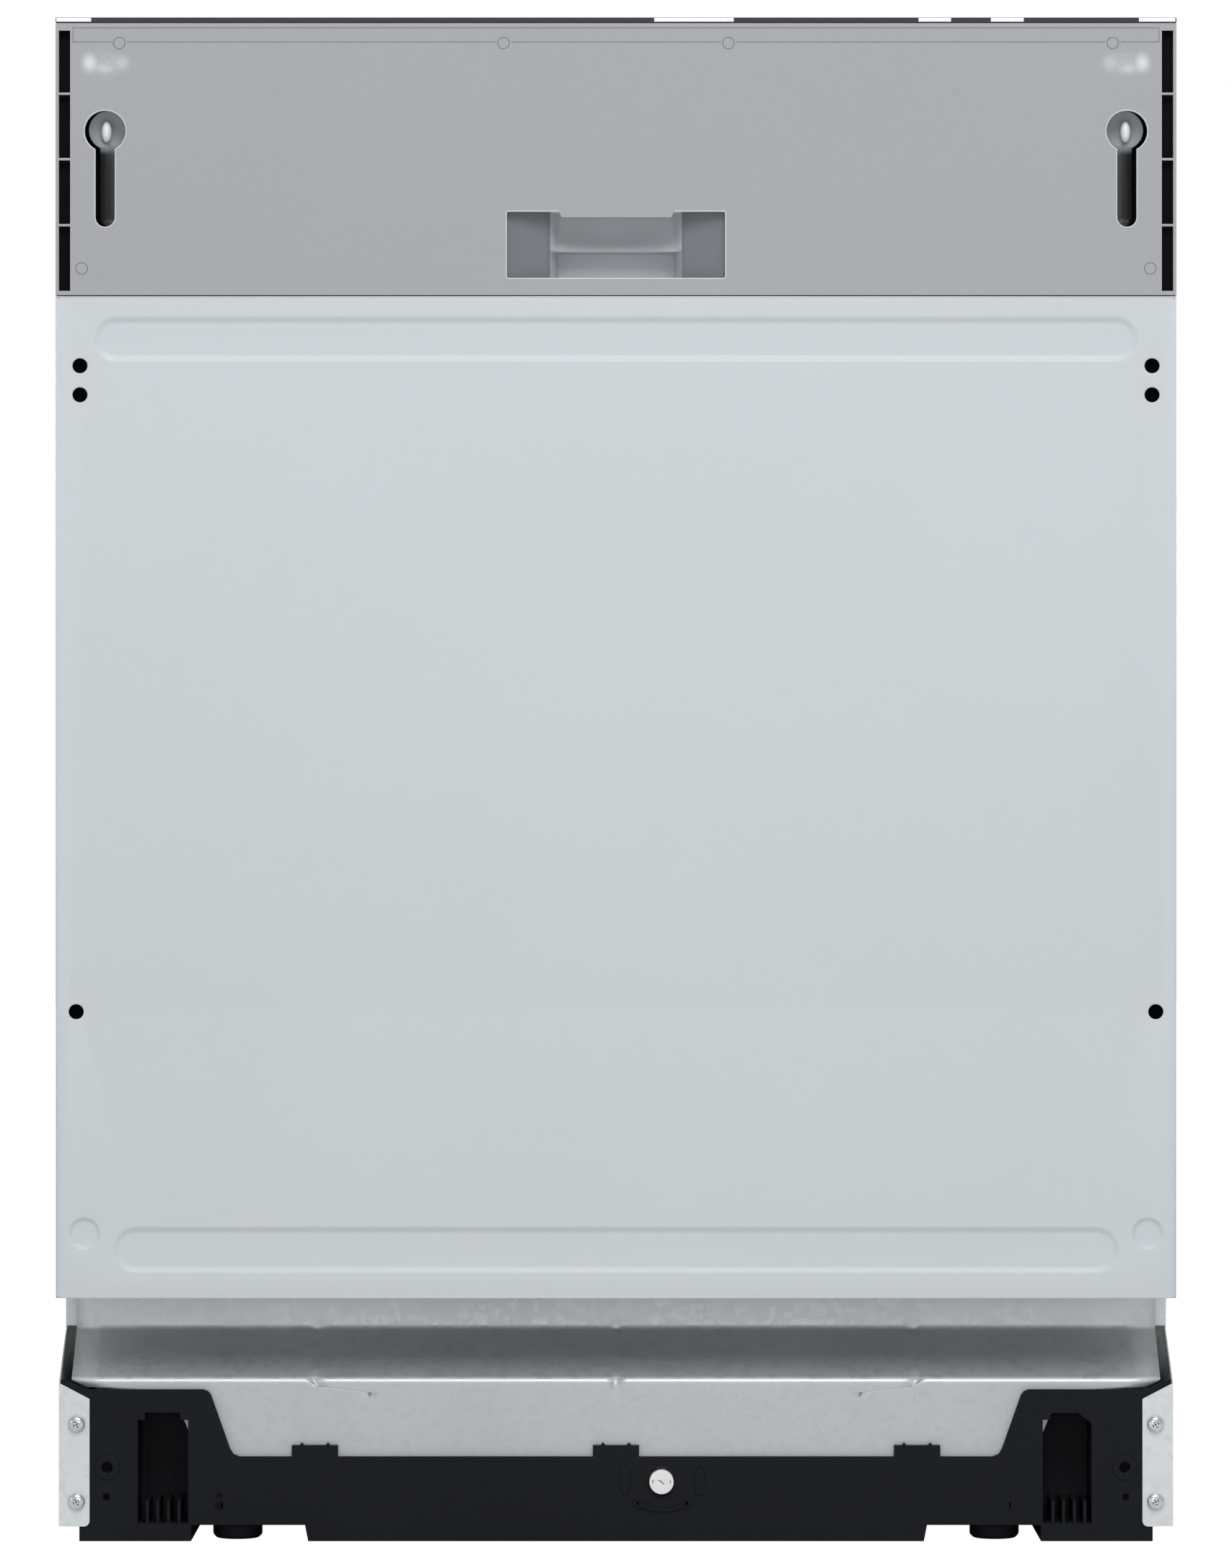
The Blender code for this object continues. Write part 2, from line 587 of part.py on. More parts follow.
WIRE = 4 * MM
RACK_FRONT = -186 * MM
RACK_BACK = 218 * MM
LOWER_RACK = (205 * MM, 330 * MM, 243 * MM)
UPPER_RACK = (505 * MM, 615 * MM, 238 * MM)
WHEEL_RADIUS = 14 * MM
WHEEL_Y = (-128 * MM, 176 * MM)
AXLE_Z = TUB_FLOOR + WHEEL_RADIUS + GAP


def wire_basket(low, high, half, cells):
    """An open box of square wires: a grid for the floor, with its edge raised as walls."""
    mesh = bmesh.new()
    bmesh.ops.create_grid(mesh, x_segments=cells, y_segments=cells, size=0.5)
    rim = [edge for edge in mesh.edges if edge.is_boundary]
    for _ in range(2):
        grown = bmesh.ops.extrude_edge_only(mesh, edges=rim)["geom"]
        verts = [item for item in grown if isinstance(item, bmesh.types.BMVert)]
        rim = [item for item in grown if isinstance(item, bmesh.types.BMEdge)]
        bmesh.ops.translate(mesh, vec=(0, 0, 0.5), verts=verts)
    inset = WIRE / 2
    size = Vector((2 * (half - inset), RACK_BACK - RACK_FRONT - WIRE, high - low - WIRE))
    middle = Vector((0, (RACK_BACK + RACK_FRONT) / 2, low + inset))
    place = Matrix.Translation(middle) @ Matrix.Diagonal((*size, 1))
    bmesh.ops.transform(mesh, matrix=place, verts=mesh.verts)
    bmesh.ops.recalc_face_normals(mesh, faces=mesh.faces)
    return mesh


def rack(name, low, high, half, joined):
    thing = part(name, RACK_WIRE, wire_basket(low, high, half, 6))
    wires = thing.modifiers.new("wires", "WIREFRAME")
    wires.thickness = WIRE
    wires.use_boundary = True
    wires.use_replace = True
    wires.use_even_offset = False
    if joined:
        boolean(thing, "UNION", joined)
    return thing


def lower_rack():
    low, high, half = LOWER_RACK
    joined = []
    for _, sign in both_sides():
        for y in WHEEL_Y:
            leg = sorted((sign * 202 * MM, sign * 207 * MM))
            joined.append(box((leg[0], y - 6 * MM, AXLE_Z - 6 * MM),
                              (leg[1], y + 6 * MM, low + 3 * MM)))
            start = min(sign * 205 * MM, sign * 221 * MM)
            joined.append(rod((start, y, AXLE_Z), "X", 16 * MM, 3 * MM, sides=12))
            rail = sorted((sign * 200 * MM, sign * 241 * MM))
            joined.append(box((rail[0], y - 3 * MM, low), (rail[1], y + 3 * MM, low + WIRE)))
    rack("lower_rack", low, high, half, joined)
    for side, sign in both_sides():
        for place, y in zip(("front", "rear"), WHEEL_Y):
            start = min(sign * 209.5 * MM, sign * 219.5 * MM)
            centre = (sign * 214.5 * MM, y, AXLE_Z)
            axle = pivot("wheel_axis_" + side + "_" + place, centre)
            part("rack_wheel_" + side + "_" + place, DARK_GREY_PLASTIC,
                 rod((start, y, AXLE_Z), "X", 10 * MM, WHEEL_RADIUS, sides=24),
                 cut=[rod((start - 1 * MM, y, AXLE_Z), "X", 12 * MM, 3.4 * MM, sides=12)],
                 origin=centre, axle=axle)


def upper_rack():
    """The upper rack, with the feed pipe of its spray arm under its floor."""
    low, high, half = UPPER_RACK
    pipe_z = low - 7 * MM
    joined = [
        box((-9 * MM, SPRAY_Y - 12 * MM, pipe_z - 6 * MM), (9 * MM, RACK_BACK, low + 2.5 * MM)),
        rod((0, SPRAY_Y, pipe_z - 16 * MM), "Z", 14 * MM, 10 * MM),
        rod((0, SPRAY_Y, pipe_z - 32 * MM), "Z", 18 * MM, 5 * MM, sides=16)]
    rack("upper_rack", low, high, half, joined)


def upper_rails():
    for side, sign in both_sides():
        outer = sorted((sign * 246.5 * MM, sign * 261.3 * MM))
        groove = sorted((sign * 245 * MM, sign * 256 * MM))
        part("upper_rail_" + side, STAINLESS,
             box((outer[0], -190 * MM, 590 * MM), (outer[1], 205 * MM, 606 * MM)),
             cut=[box((groove[0], -191 * MM, 593 * MM), (groove[1], 200 * MM, 603 * MM))])


BASKET = ((-105 * MM, -176 * MM, 212 * MM), (105 * MM, -96 * MM, 322 * MM))


def cutlery_basket():
    low, high = (Vector(corner) for corner in BASKET)
    wall = 2.5 * MM
    middle = (low.y + high.y) / 2
    axle = pivot("cutlery_lift", (0, middle, low.z))
    dividers = [box((x - 1 * MM, low.y + wall / 2, low.z + wall / 2),
                    (x + 1 * MM, high.y - wall / 2, high.z - 18 * MM)) for x in (-35 * MM, 35 * MM)]
    handle = [box((x - 3 * MM, middle - 5 * MM, low.z + 1 * MM),
                  (x + 3 * MM, middle + 5 * MM, high.z + 38 * MM)) for x in (-35 * MM, 35 * MM)]
    grip = box((-38 * MM, middle - 5 * MM, high.z + 30 * MM),
               (38 * MM, middle + 5 * MM, high.z + 38 * MM))
    part("cutlery_basket", DARK_GREY_PLASTIC, box(low, high),
         cut=[box(low + Vector((wall, wall, wall)), high + Vector((-wall, -wall, 5 * MM)))],
         ribs=[*dividers, *handle, grip], origin=(0, middle, low.z), axle=axle)


def arm_outline(reach, hub, tip):
    """A two-bladed arm seen from above, along X, with round ends and a round hub."""
    swell = math.degrees(math.acos(0.75))
    right = arc((reach - tip, 0), tip, -90, 90, 6)
    left = arc((tip - reach, 0), tip, 90, 270, 6)
    top = arc((0, 0), hub, swell, 180 - swell, 5)
    bottom = arc((0, 0), hub, 180 + swell, 360 - swell, 5)
    return right + top + left + bottom


def spray_arms():
    for name, low, reach in (("lower_spray_arm", 182 * MM, SPRAY_REACH),
                             ("upper_spray_arm", 468 * MM, SPRAY_REACH - 13 * MM)):
        outline = [(u, v + SPRAY_Y) for u, v in arm_outline(reach, 30 * MM, 17 * MM)]
        axle = pivot(name + "_axis", (0, SPRAY_Y, low))
        joined = [rod((0, SPRAY_Y, low - 3 * MM), "Z", 16 * MM, 20 * MM)]
        if name == "upper_spray_arm":
            bore = [rod((0, SPRAY_Y, low - 10 * MM), "Z", 40 * MM, 5.6 * MM, sides=16)]
        else:
            bore = [rod((0, SPRAY_Y, low - 10 * MM), "Z", 12 * MM, 13 * MM)]
        part(name, DARK_GREY_PLASTIC, plate([outline], "Z", low, low + 11 * MM), joined, bore,
             origin=(0, SPRAY_Y, low), axle=axle)


# Door -----------------------------------------------------------------------

INNER_HALF = 272.5 * MM
INNER_DEPTH = 26 * MM
HANDLE_HALF = 58.4 * MM
HANDLE_Z = (675.9 * MM, 711.6 * MM)
KEYHOLE_X, KEYHOLE_Z = 272.6 * MM, 754.4 * MM
VENT_X = (291.2 * MM, 297.3 * MM)
VENT_CELLS = ((669.0 * MM, 703.6 * MM), (704.8 * MM, 738.8 * MM), (740.0 * MM, 773.7 * MM),
              (774.9 * MM, 808.0 * MM))
KEY_Y = (-262 * MM, -248 * MM)
KEYS = {
    "power_button": (-296 * MM, -280 * MM),
    "program_button": (162 * MM, 178 * MM),
    "option_button": (200.5 * MM, 216.5 * MM),
    "start_button": (280 * MM, 296 * MM),
}


def key_holes(low, high, clearance):
    return [box((x0 - clearance, KEY_Y[0] - clearance, low), (x1 + clearance, KEY_Y[1] + clearance,
                                                              high))
            for x0, x1 in KEYS.values()]


def control_fascia(axle):
    """A moulded shell, open at its back, with vents, keyhole hangers and the handle opening."""
    top = STRIP_BOTTOM - GAP
    low = DOOR_SPLIT + 0.2 * MM
    back = -215 * MM
    wall = FASCIA_WALL
    hollow = box((-HALF_WIDTH + 1.6 * MM, FRONT + wall, low + wall),
                 (HALF_WIDTH - 1.6 * MM, back + 1 * MM, top - wall))
    cut = [hollow,
           box((-INNER_HALF - 1.5 * MM, DOOR_BACK - INNER_DEPTH - 1 * MM, low - 1 * MM),
               (INNER_HALF + 1.5 * MM, back + 1 * MM, low + wall + 1 * MM)),
           box((-HANDLE_HALF, FRONT - 1 * MM, HANDLE_Z[0]),
               (HANDLE_HALF, FRONT + wall + 1 * MM, HANDLE_Z[1]))]
    cut += key_holes(top - wall - 1 * MM, top + 1 * MM, 0.4 * MM)
    for _, sign in both_sides():
        hole = keyhole((sign * KEYHOLE_X, KEYHOLE_Z), 11.1 * MM, 5.35 * MM, 703.1 * MM)
        cut.append(plate([hole], "Y", FRONT - 1 * MM, FRONT + wall + 1 * MM))
        x0, x1 = sorted((sign * VENT_X[0], sign * VENT_X[1]))
        for z0, z1 in VENT_CELLS:
            cut.append(box((x0, FRONT - 1 * MM, z0), (x1, FRONT + wall + 1 * MM, z1)))
    part("control_fascia", GREY_PLASTIC,
         box((-HALF_WIDTH, FRONT, low), (HALF_WIDTH, back, top)), cut=cut, axle=axle,
         origin=PIVOT)


def control_strip(axle):
    part("control_strip", BLACK_GLOSS,
         box((-HALF_WIDTH, FRONT, STRIP_BOTTOM), (HALF_WIDTH, -214 * MM, HEIGHT)),
         cut=key_holes(STRIP_BOTTOM - 1 * MM, HEIGHT + 1 * MM, 0.4 * MM), axle=axle, origin=PIVOT)
    for name, (x0, x1) in KEYS.items():
        centre = ((x0 + x1) / 2, (KEY_Y[0] + KEY_Y[1]) / 2, HEIGHT)
        key_axle = pivot(name + "_axis", centre)
        part(name, BLACK_GLOSS,
             box((x0, KEY_Y[0], 803 * MM), (x1, KEY_Y[1], HEIGHT - 0.1 * MM)),
             origin=centre, axle=key_axle)


def handle_pocket(axle):
    """A tray behind the fascia's opening, with a deeper well in its middle."""
    low, high = HANDLE_Z
    front = FRONT + FASCIA_WALL + GAP
    rim = 1.8 * MM
    part("handle_pocket", DARK_GREY_PLASTIC,
         box((-HANDLE_HALF - rim, front, low - rim), (HANDLE_HALF + rim, front + 10 * MM,
                                                      high + rim)),
         [box((-37 * MM, front + 1 * MM, low - rim), (37 * MM, front + 28 * MM, high + rim))],
         [box((-HANDLE_HALF, front - 1 * MM, low), (HANDLE_HALF, front + 8 * MM, high)),
          box((-35.2 * MM, front, low + 0.2 * MM), (35.2 * MM, front + 26 * MM, high - 0.2 * MM))],
         axle=axle, origin=PIVOT)


UPPER_RIB = (279 * MM, 631.0 * MM, 655.9 * MM)
LOWER_RIB = (269 * MM, 144.9 * MM, 170.6 * MM)
DOOR_HOLES = ((286 * MM, 629.2 * MM), (286 * MM, 613.7 * MM), (288 * MM, 284.7 * MM))
DOOR_BOSS = (283.7 * MM, 166.4 * MM, 9.1 * MM)
RIB_DEPTH = 1.6 * MM


def door_outer_panel(axle):
    """A painted sheet with returned edges, two long pressed ribs and two pressed rounds."""
    top = DOOR_SPLIT - 0.2 * MM
    rest = FRONT + 15 * MM
    joined = [box((-DOOR_HALF, FRONT, DOOR_BOTTOM), (DOOR_HALF, rest, DOOR_BOTTOM + STEEL))]
    cut = []
    for half, low, high in (UPPER_RIB, LOWER_RIB):
        joined.append(plate([stadium(half + STEEL, low - STEEL, high + STEEL)], "Y",
                            FRONT + 0.5 * MM, FRONT + RIB_DEPTH + STEEL))
        wall = 4 * MM
        cut.append(plate([stadium(half - wall, low + wall, high - wall)], "Y", FRONT - 1 * MM,
                         FRONT + RIB_DEPTH))
    deep = -215.5 * MM
    flank = [(FRONT, DOOR_BOTTOM), (rest, DOOR_BOTTOM), (rest, 165 * MM), (deep, 205 * MM),
             (deep, top), (FRONT, top)]
    for _, sign in both_sides():
        edge = sorted((sign * (DOOR_HALF - STEEL), sign * DOOR_HALF))
        joined.append(plate([flank], "X", *edge))
        x, z, radius = DOOR_BOSS
        joined.append(rod((sign * x, FRONT + 0.5 * MM, z), "Y", RIB_DEPTH + 0.5 * MM,
                          radius + STEEL))
        cut.append(rod((sign * x, FRONT - 1 * MM, z), "Y", 1 * MM + RIB_DEPTH, radius - 1 * MM))
        for x, z in DOOR_HOLES:
            cut.append(rod((sign * x, FRONT - 1 * MM, z), "Y", 4 * MM, 4 * MM, sides=20))
    part("door_outer_panel", PAINTED_STEEL,
         box((-DOOR_HALF, FRONT, DOOR_BOTTOM), (DOOR_HALF, FRONT + STEEL, top)), joined, cut,
         axle=axle, origin=PIVOT)


DISPENSER = ((-120 * MM, 362 * MM), (70 * MM, 472 * MM))


def door_inner_panel(axle):
    """A steel tray whose floor faces the tub, with the opening for the dispenser."""
    low, high = 150 * MM, 802 * MM
    depth = INNER_DEPTH
    (x0, z0), (x1, z1) = DISPENSER
    inner = [box((-INNER_HALF + STEEL, DOOR_BACK - depth - 1 * MM, low + STEEL),
                 (INNER_HALF - STEEL, DOOR_BACK - STEEL, high + 5 * MM)),
             box((x0 + 3 * MM, DOOR_BACK - 5 * MM, z0 + 3 * MM),
                 (x1 - 3 * MM, DOOR_BACK + 1 * MM, z1 - 3 * MM)),
             box((-30 * MM, DOOR_BACK - 5 * MM, 778 * MM), (30 * MM, DOOR_BACK + 1 * MM,
                                                            high + 1 * MM))]
    part("door_inner_panel", STAINLESS,
         box((-INNER_HALF, DOOR_BACK - depth, low), (INNER_HALF, DOOR_BACK, high)),
         cut=inner, axle=axle, origin=PIVOT)


def door_fittings(axle):
    back = DOOR_BACK - STEEL - GAP
    part("door_latch", BLACK_PLASTIC,
         box((-28 * MM, -250 * MM, 780 * MM), (28 * MM, back, 809 * MM)),
         cut=[box((-13 * MM, -231 * MM, 803 * MM), (13 * MM, back + 1 * MM, 810 * MM))],
         axle=axle, origin=PIVOT)
    part("control_board", GREEN_BOARD,
         box((60 * MM, -268 * MM, 730 * MM), (220 * MM, -266.4 * MM, 795 * MM)),
         [box((75 * MM, -267 * MM, 742 * MM), (100 * MM, -258 * MM, 770 * MM)),
          box((130 * MM, -267 * MM, 745 * MM), (160 * MM, -263 * MM, 775 * MM))],
         axle=axle, origin=PIVOT)
    part("door_bottom_seal", RUBBER,
         box((-262 * MM, DOOR_BACK + GAP, 152 * MM), (262 * MM, DOOR_BACK + 3 * MM, 158 * MM)),
         [box((-262 * MM, DOOR_BACK + GAP, 153 * MM), (262 * MM, DOOR_BACK + 5.5 * MM,
                                                       155 * MM))],
         axle=axle, origin=PIVOT)
    (x0, z0), (x1, z1) = DISPENSER
    face = DOOR_BACK + 5 * MM
    part("dispenser_body", DARK_GREY_PLASTIC,
         box((x0, DOOR_BACK + GAP, z0), (x1, face, z1)),
         [box((x0 + 4 * MM, -236 * MM, z0 + 4 * MM), (x1 - 4 * MM, face, z1 - 4 * MM))],
         [box((-106 * MM, -226 * MM, 420 * MM), (-26 * MM, face + 1 * MM, 464 * MM))],
         axle=axle, origin=PIVOT)
    lid_axle = pivot("dispenser_lid_axis", (-66 * MM, face, 442 * MM))
    part("dispenser_lid", GREY_PLASTIC,
         box((-110 * MM, face + GAP, 417 * MM), (-22 * MM, face + 3 * MM, 467 * MM)),
         [box((-100 * MM, face + 2 * MM, 421 * MM), (-32 * MM, face + 5 * MM, 424 * MM))],
         origin=(-66 * MM, face, 442 * MM), axle=lid_axle)
    cap_centre = (30 * MM, face + GAP, 418 * MM)
    cap_axle = pivot("rinse_aid_cap_axis", cap_centre)
    part("rinse_aid_cap", GREY_PLASTIC, rod(cap_centre, "Y", 4 * MM, 24 * MM, sides=28),
         [box((8 * MM, face + 3 * MM, 415.5 * MM), (52 * MM, face + 8 * MM, 420.5 * MM))],
         origin=cap_centre, axle=cap_axle)


# Hinges and springs ---------------------------------------------------------

def hinges(axle):
    """Arms with their pins on the door, brackets with round holes on the cabinet."""
    y, z = PIVOT[1], PIVOT[2]
    for side, sign in both_sides():
        arm = [(y - 9 * MM, z - 8 * MM), (y + 8 * MM, z - 8 * MM), (y + 9 * MM, z + 10 * MM),
               (y + 2 * MM, z + 30 * MM), (y + 2 * MM, z + 220 * MM), (y - 22 * MM, z + 220 * MM),
               (y - 22 * MM, z + 30 * MM)]
        x0, x1 = sorted((sign * 273.6 * MM, sign * 276.6 * MM))
        pin = min(sign * 274 * MM, sign * 286 * MM)
        part("hinge_arm_" + side, GALVANISED, plate([arm], "X", x0, x1),
             [rod((pin, y, z), "X", 12 * MM, 4 * MM, sides=20)], axle=axle, origin=PIVOT)
        bracket = [(y - 10 * MM, z - 8 * MM), (y + 20 * MM, z - 4 * MM),
                   (y + 27.5 * MM, z - 4 * MM), (y + 30.5 * MM, z - 95 * MM),
                   (y + 62 * MM, z - 95 * MM), (y + 62 * MM, z + 18 * MM), (y, z + 14 * MM),
                   (y - 10 * MM, z + 8 * MM)]
        x0, x1 = sorted((sign * 279.6 * MM, sign * 282.6 * MM))
        part("hinge_bracket_" + side, GALVANISED, plate([bracket], "X", x0, x1),
             cut=[rod((x0 - 1 * MM, y, z), "X", 5 * MM, 4.4 * MM, sides=20)])


def door_springs():
    """Coil springs that balance the door, lying low along both sides."""
    turns, per_turn, radius, wire = 9, 7, 6.5 * MM, 1.2 * MM
    start, length, z = -150 * MM, 110 * MM, 75 * MM
    for side, sign in both_sides():
        x = sign * 284.5 * MM
        coil = []
        for step in range(turns * per_turn + 1):
            angle = 2 * math.pi * step / per_turn
            coil.append((x + radius * math.cos(angle), start + length * step / (turns * per_turn),
                         z + radius * math.sin(angle)))
        tail = (coil[-1][0], coil[-1][1] + 22 * MM, z)
        part("door_spring_" + side, ZINC, tube([*coil, tail], wire, "spring"))


# Feet -----------------------------------------------------------------------

FOOT_TOP = 8.4 * MM


def front_feet():
    radius = 13.3 * MM
    for side, sign in both_sides():
        x, y = sign * FRONT_FOOT[0], FRONT_FOOT[1]
        profile = [(0.5 * MM, 0), (radius - 2 * MM, 0), (radius, 2 * MM), (radius, FOOT_TOP - 1 * MM),
                   (radius - 1 * MM, FOOT_TOP), (4 * MM, FOOT_TOP), (4 * MM, 78 * MM),
                   (0.5 * MM, 78 * MM)]
        axle = pivot("front_foot_axis_" + side, (x, y, 0))
        part("front_foot_" + side, BLACK_PLASTIC, turned(profile, (x, y), 24),
             [rod((x, y, 0), "Z", 78 * MM, 1.5 * MM, sides=12)], origin=(x, y, 0), axle=axle)


def rear_foot():
    """The rear foot's screw runs through a toothed wheel, which the rod's worm turns."""
    x, y = REAR_FOOT
    axle = pivot("rear_foot_axis", (x, y, 0))
    profile = [(0.5 * MM, 0), (20 * MM, 0), (20 * MM, 5 * MM), (16 * MM, FOOT_TOP),
               (5 * MM, FOOT_TOP), (5 * MM, 78 * MM), (0.5 * MM, 78 * MM)]
    part("rear_foot", BLACK_PLASTIC, turned(profile, (x, y), 24),
         [rod((x, y, 0), "Z", 78 * MM, 1.5 * MM, sides=12)], origin=(x, y, 0), axle=axle)
    teeth, root, crest = 20, 17.2 * MM, 19.4 * MM
    wheel = []
    for tooth in range(teeth):
        for share, radius in ((0.0, root), (0.3, root), (0.45, crest), (0.8, crest)):
            angle = 2 * math.pi * (tooth + share) / teeth
            wheel.append((x + radius * math.cos(angle), y + radius * math.sin(angle)))
    bore = arc((x, y), 5.5 * MM, 0, 345, 23)
    gear_axle = pivot("rear_gear_axis", (x, y, ADJUSTER[1]))
    part("rear_foot_gear", WHITE_PLASTIC,
         plate([wheel, bore], "Z", ADJUSTER[1] - 5 * MM, ADJUSTER[1] + 5 * MM),
         origin=(x, y, ADJUSTER[1]), axle=gear_axle)


def rear_adjuster():
    """A slotted head at the front, a long rod, and the worm at the rear foot."""
    x, z = ADJUSTER
    head_front, head_back = -256.5 * MM, -246 * MM
    axle = pivot("adjuster_axis", (x, head_front, z))
    part("rear_adjuster", WHITE_PLASTIC,
         rod((x, head_front, z), "Y", head_back - head_front, 6.5 * MM, sides=24),
         [rod((x, head_back - 1 * MM, z), "Y", 238 * MM - head_back, 3 * MM, sides=12),
          rod((x, 199 * MM, z), "Y", 32 * MM, 4.2 * MM, sides=16)],
         [box((x - 5 * MM, head_front - 1 * MM, z - 0.9 * MM),
              (x + 5 * MM, head_front + 2.2 * MM, z + 0.9 * MM))],
         origin=(x, head_front, z), axle=axle)


def main():
    base_carrier()
    side_panels()
    flange_screws()
    kick_plate()
    top_brace()
    back_panel()
    tub()
    tub_gasket()
    top_insulation()
    sump()
    filters()
    softener()
    pumps()
    rear_fittings()
    lower_rack()
    upper_rack()
    upper_rails()
    cutlery_basket()
    spray_arms()
    front_feet()
    rear_foot()
    rear_adjuster()
    door_springs()
    door_axle = pivot("door_axis", PIVOT)
    control_fascia(door_axle)
    control_strip(door_axle)
    handle_pocket(door_axle)
    door_outer_panel(door_axle)
    door_inner_panel(door_axle)
    door_fittings(door_axle)
    hinges(door_axle)


main()
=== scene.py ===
# %% [markdown]
# # A built-in dishwasher, finished piece by piece
# The machine arrives as a plain model that already works: its door turns, its racks slide and its
# feet screw out. This lesson gives it its looks. Every piece is placed from the model's own
# measures, so nothing is fitted by eye, and each new mesh starts from one of Blender's operators.

# %% Load the working model
import json
import math

import bmesh
import bpy
from mathutils import Matrix, Vector


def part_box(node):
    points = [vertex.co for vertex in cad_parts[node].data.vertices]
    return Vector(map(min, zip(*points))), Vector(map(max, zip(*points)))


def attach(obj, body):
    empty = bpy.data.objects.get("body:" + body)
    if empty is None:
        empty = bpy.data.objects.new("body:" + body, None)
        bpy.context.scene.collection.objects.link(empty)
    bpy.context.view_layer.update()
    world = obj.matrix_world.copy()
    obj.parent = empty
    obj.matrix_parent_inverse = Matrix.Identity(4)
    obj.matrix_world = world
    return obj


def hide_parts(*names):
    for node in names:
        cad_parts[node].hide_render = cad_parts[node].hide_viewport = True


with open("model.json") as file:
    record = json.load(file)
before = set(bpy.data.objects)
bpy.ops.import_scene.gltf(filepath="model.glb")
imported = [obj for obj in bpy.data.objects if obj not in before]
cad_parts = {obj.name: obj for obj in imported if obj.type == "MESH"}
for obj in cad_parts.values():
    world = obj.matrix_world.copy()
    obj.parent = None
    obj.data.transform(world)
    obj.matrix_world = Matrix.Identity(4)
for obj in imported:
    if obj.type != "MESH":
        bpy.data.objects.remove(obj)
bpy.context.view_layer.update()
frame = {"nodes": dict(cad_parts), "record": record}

MM = 0.001
nodes = frame["nodes"]

# %% [markdown]
# A few places are needed again and again: the front of the door, half the machine's width and its
# top. They are read from the model's boxes, so they follow it if it changes.

# %% Measure the model
door_low, door_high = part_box("door_outer_panel")
fascia_low, fascia_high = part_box("control_fascia")
strip_low, strip_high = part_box("control_strip")
FRONT = door_low.y
HALF = fascia_high.x
TOP = strip_high.z
print("front", round(FRONT, 4), "half width", round(HALF, 4), "top", round(TOP, 4))

# %% [markdown]
# ## The camera
# The machine is seen straight on from a few metres away through a long lens, so that hardly any of
# its top or sides shows. The lens follows from the distance and from the height that the view
# must hold, which is the machine's own height with a little air above and below.

# %% Place the camera
VIEW_DISTANCE = 3.75
SENSOR = 0.036
AIR_ABOVE, AIR_BELOW = 0.01105, 0.01427
visible = TOP / (1 - AIR_ABOVE - AIR_BELOW)
eye_height = TOP + visible * AIR_ABOVE - visible / 2

camera_data = bpy.data.cameras.new("camera")
camera_data.sensor_fit = "VERTICAL"
camera_data.sensor_height = SENSOR * 1000
camera_data.lens = SENSOR * 1000 * VIEW_DISTANCE / visible
camera_data.clip_end = 50
camera = bpy.data.objects.new("camera", camera_data)
bpy.context.scene.collection.objects.link(camera)
camera.location = (0, FRONT - VIEW_DISTANCE, eye_height)
camera.rotation_euler = (math.pi / 2, 0, 0)
bpy.context.scene.camera = camera
bpy.context.scene.view_settings.view_transform = "Standard"
print("lens", round(camera_data.lens), "mm at", VIEW_DISTANCE, "m, eye at", round(eye_height, 3))

# %% [markdown]
# ## Finishes
# Four effects turn up in many finishes, so each is a node group that is built once: a fine moulded
# or painted grain, the crystals of hot-dip zinc, the lines of brushed steel, and slow cloudy
# differences that keep a large surface from looking printed. A group gives out numbers and normals
# only, and the shader itself stays in each material. All of them read Object coordinates, which
# are metres here because every piece sits unturned at the origin.

# %% Helpers for node groups
FLOAT, VECTOR = "NodeSocketFloat", "NodeSocketVector"


def new_group(name, inputs, outputs):
    """A node group with float inputs (name: default) and named outputs (name: type)."""
    group = bpy.data.node_groups.new(name, "ShaderNodeTree")
    for title, value in inputs.items():
        socket = group.interface.new_socket(title, in_out="INPUT", socket_type=FLOAT)
        socket.default_value = value
    for title, kind in outputs.items():
        group.interface.new_socket(title, in_out="OUTPUT", socket_type=kind)
    place = group.nodes.new("ShaderNodeTexCoord")
    return group, group.nodes.new("NodeGroupInput"), group.nodes.new("NodeGroupOutput"), place


def add(tree, kind, **settings):
    """A node with its settings; an input is set by its name, written with underscores."""
    node = tree.nodes.new(kind)
    for key, value in settings.items():
        title = key.replace("_", " ").title()
        if hasattr(node, key):
            setattr(node, key, value)
        else:
            node.inputs[title].default_value = value
    return node


def link(tree, *wires):
    """Each wire is (node, output, node, input)."""
    for source, out, target, into in wires:
        tree.links.new(source.outputs[out], target.inputs[into])


def span(tree, from_min, from_max, to_min=0.0, to_max=1.0, smooth=False):
    """A node that maps one range onto another."""
    node = add(tree, "ShaderNodeMapRange",
               interpolation_type="SMOOTHSTEP" if smooth else "LINEAR")
    for title, value in (("From Min", from_min), ("From Max", from_max),
                         ("To Min", to_min), ("To Max", to_max)):
        node.inputs[title].default_value = value
    return node


def give_out(group, g_in, g_out, mask, output, distance):
    """End a group: its mask goes out, and a bump made of the mask gives the normal."""
    bump = add(group, "ShaderNodeBump", distance=distance)
    link(group, (mask, output, bump, "Height"), (g_in, "Height", bump, "Strength"),
         (mask, output, g_out, "Mask"), (bump, "Normal", g_out, "Normal"))


# %% Grain: tiny bumps, with a mask of their high spots
BOTH = {"Mask": FLOAT, "Normal": VECTOR}
grain, g_in, g_out, place = new_group(
    "grain", {"Scale": 1200.0, "Height": 0.3, "Detail": 3.0}, BOTH)
noise = add(grain, "ShaderNodeTexNoise", roughness=0.55)
link(grain, (place, "Object", noise, "Vector"), (g_in, "Scale", noise, "Scale"),
     (g_in, "Detail", noise, "Detail"))
give_out(grain, g_in, g_out, noise, "Fac", 0.0002)

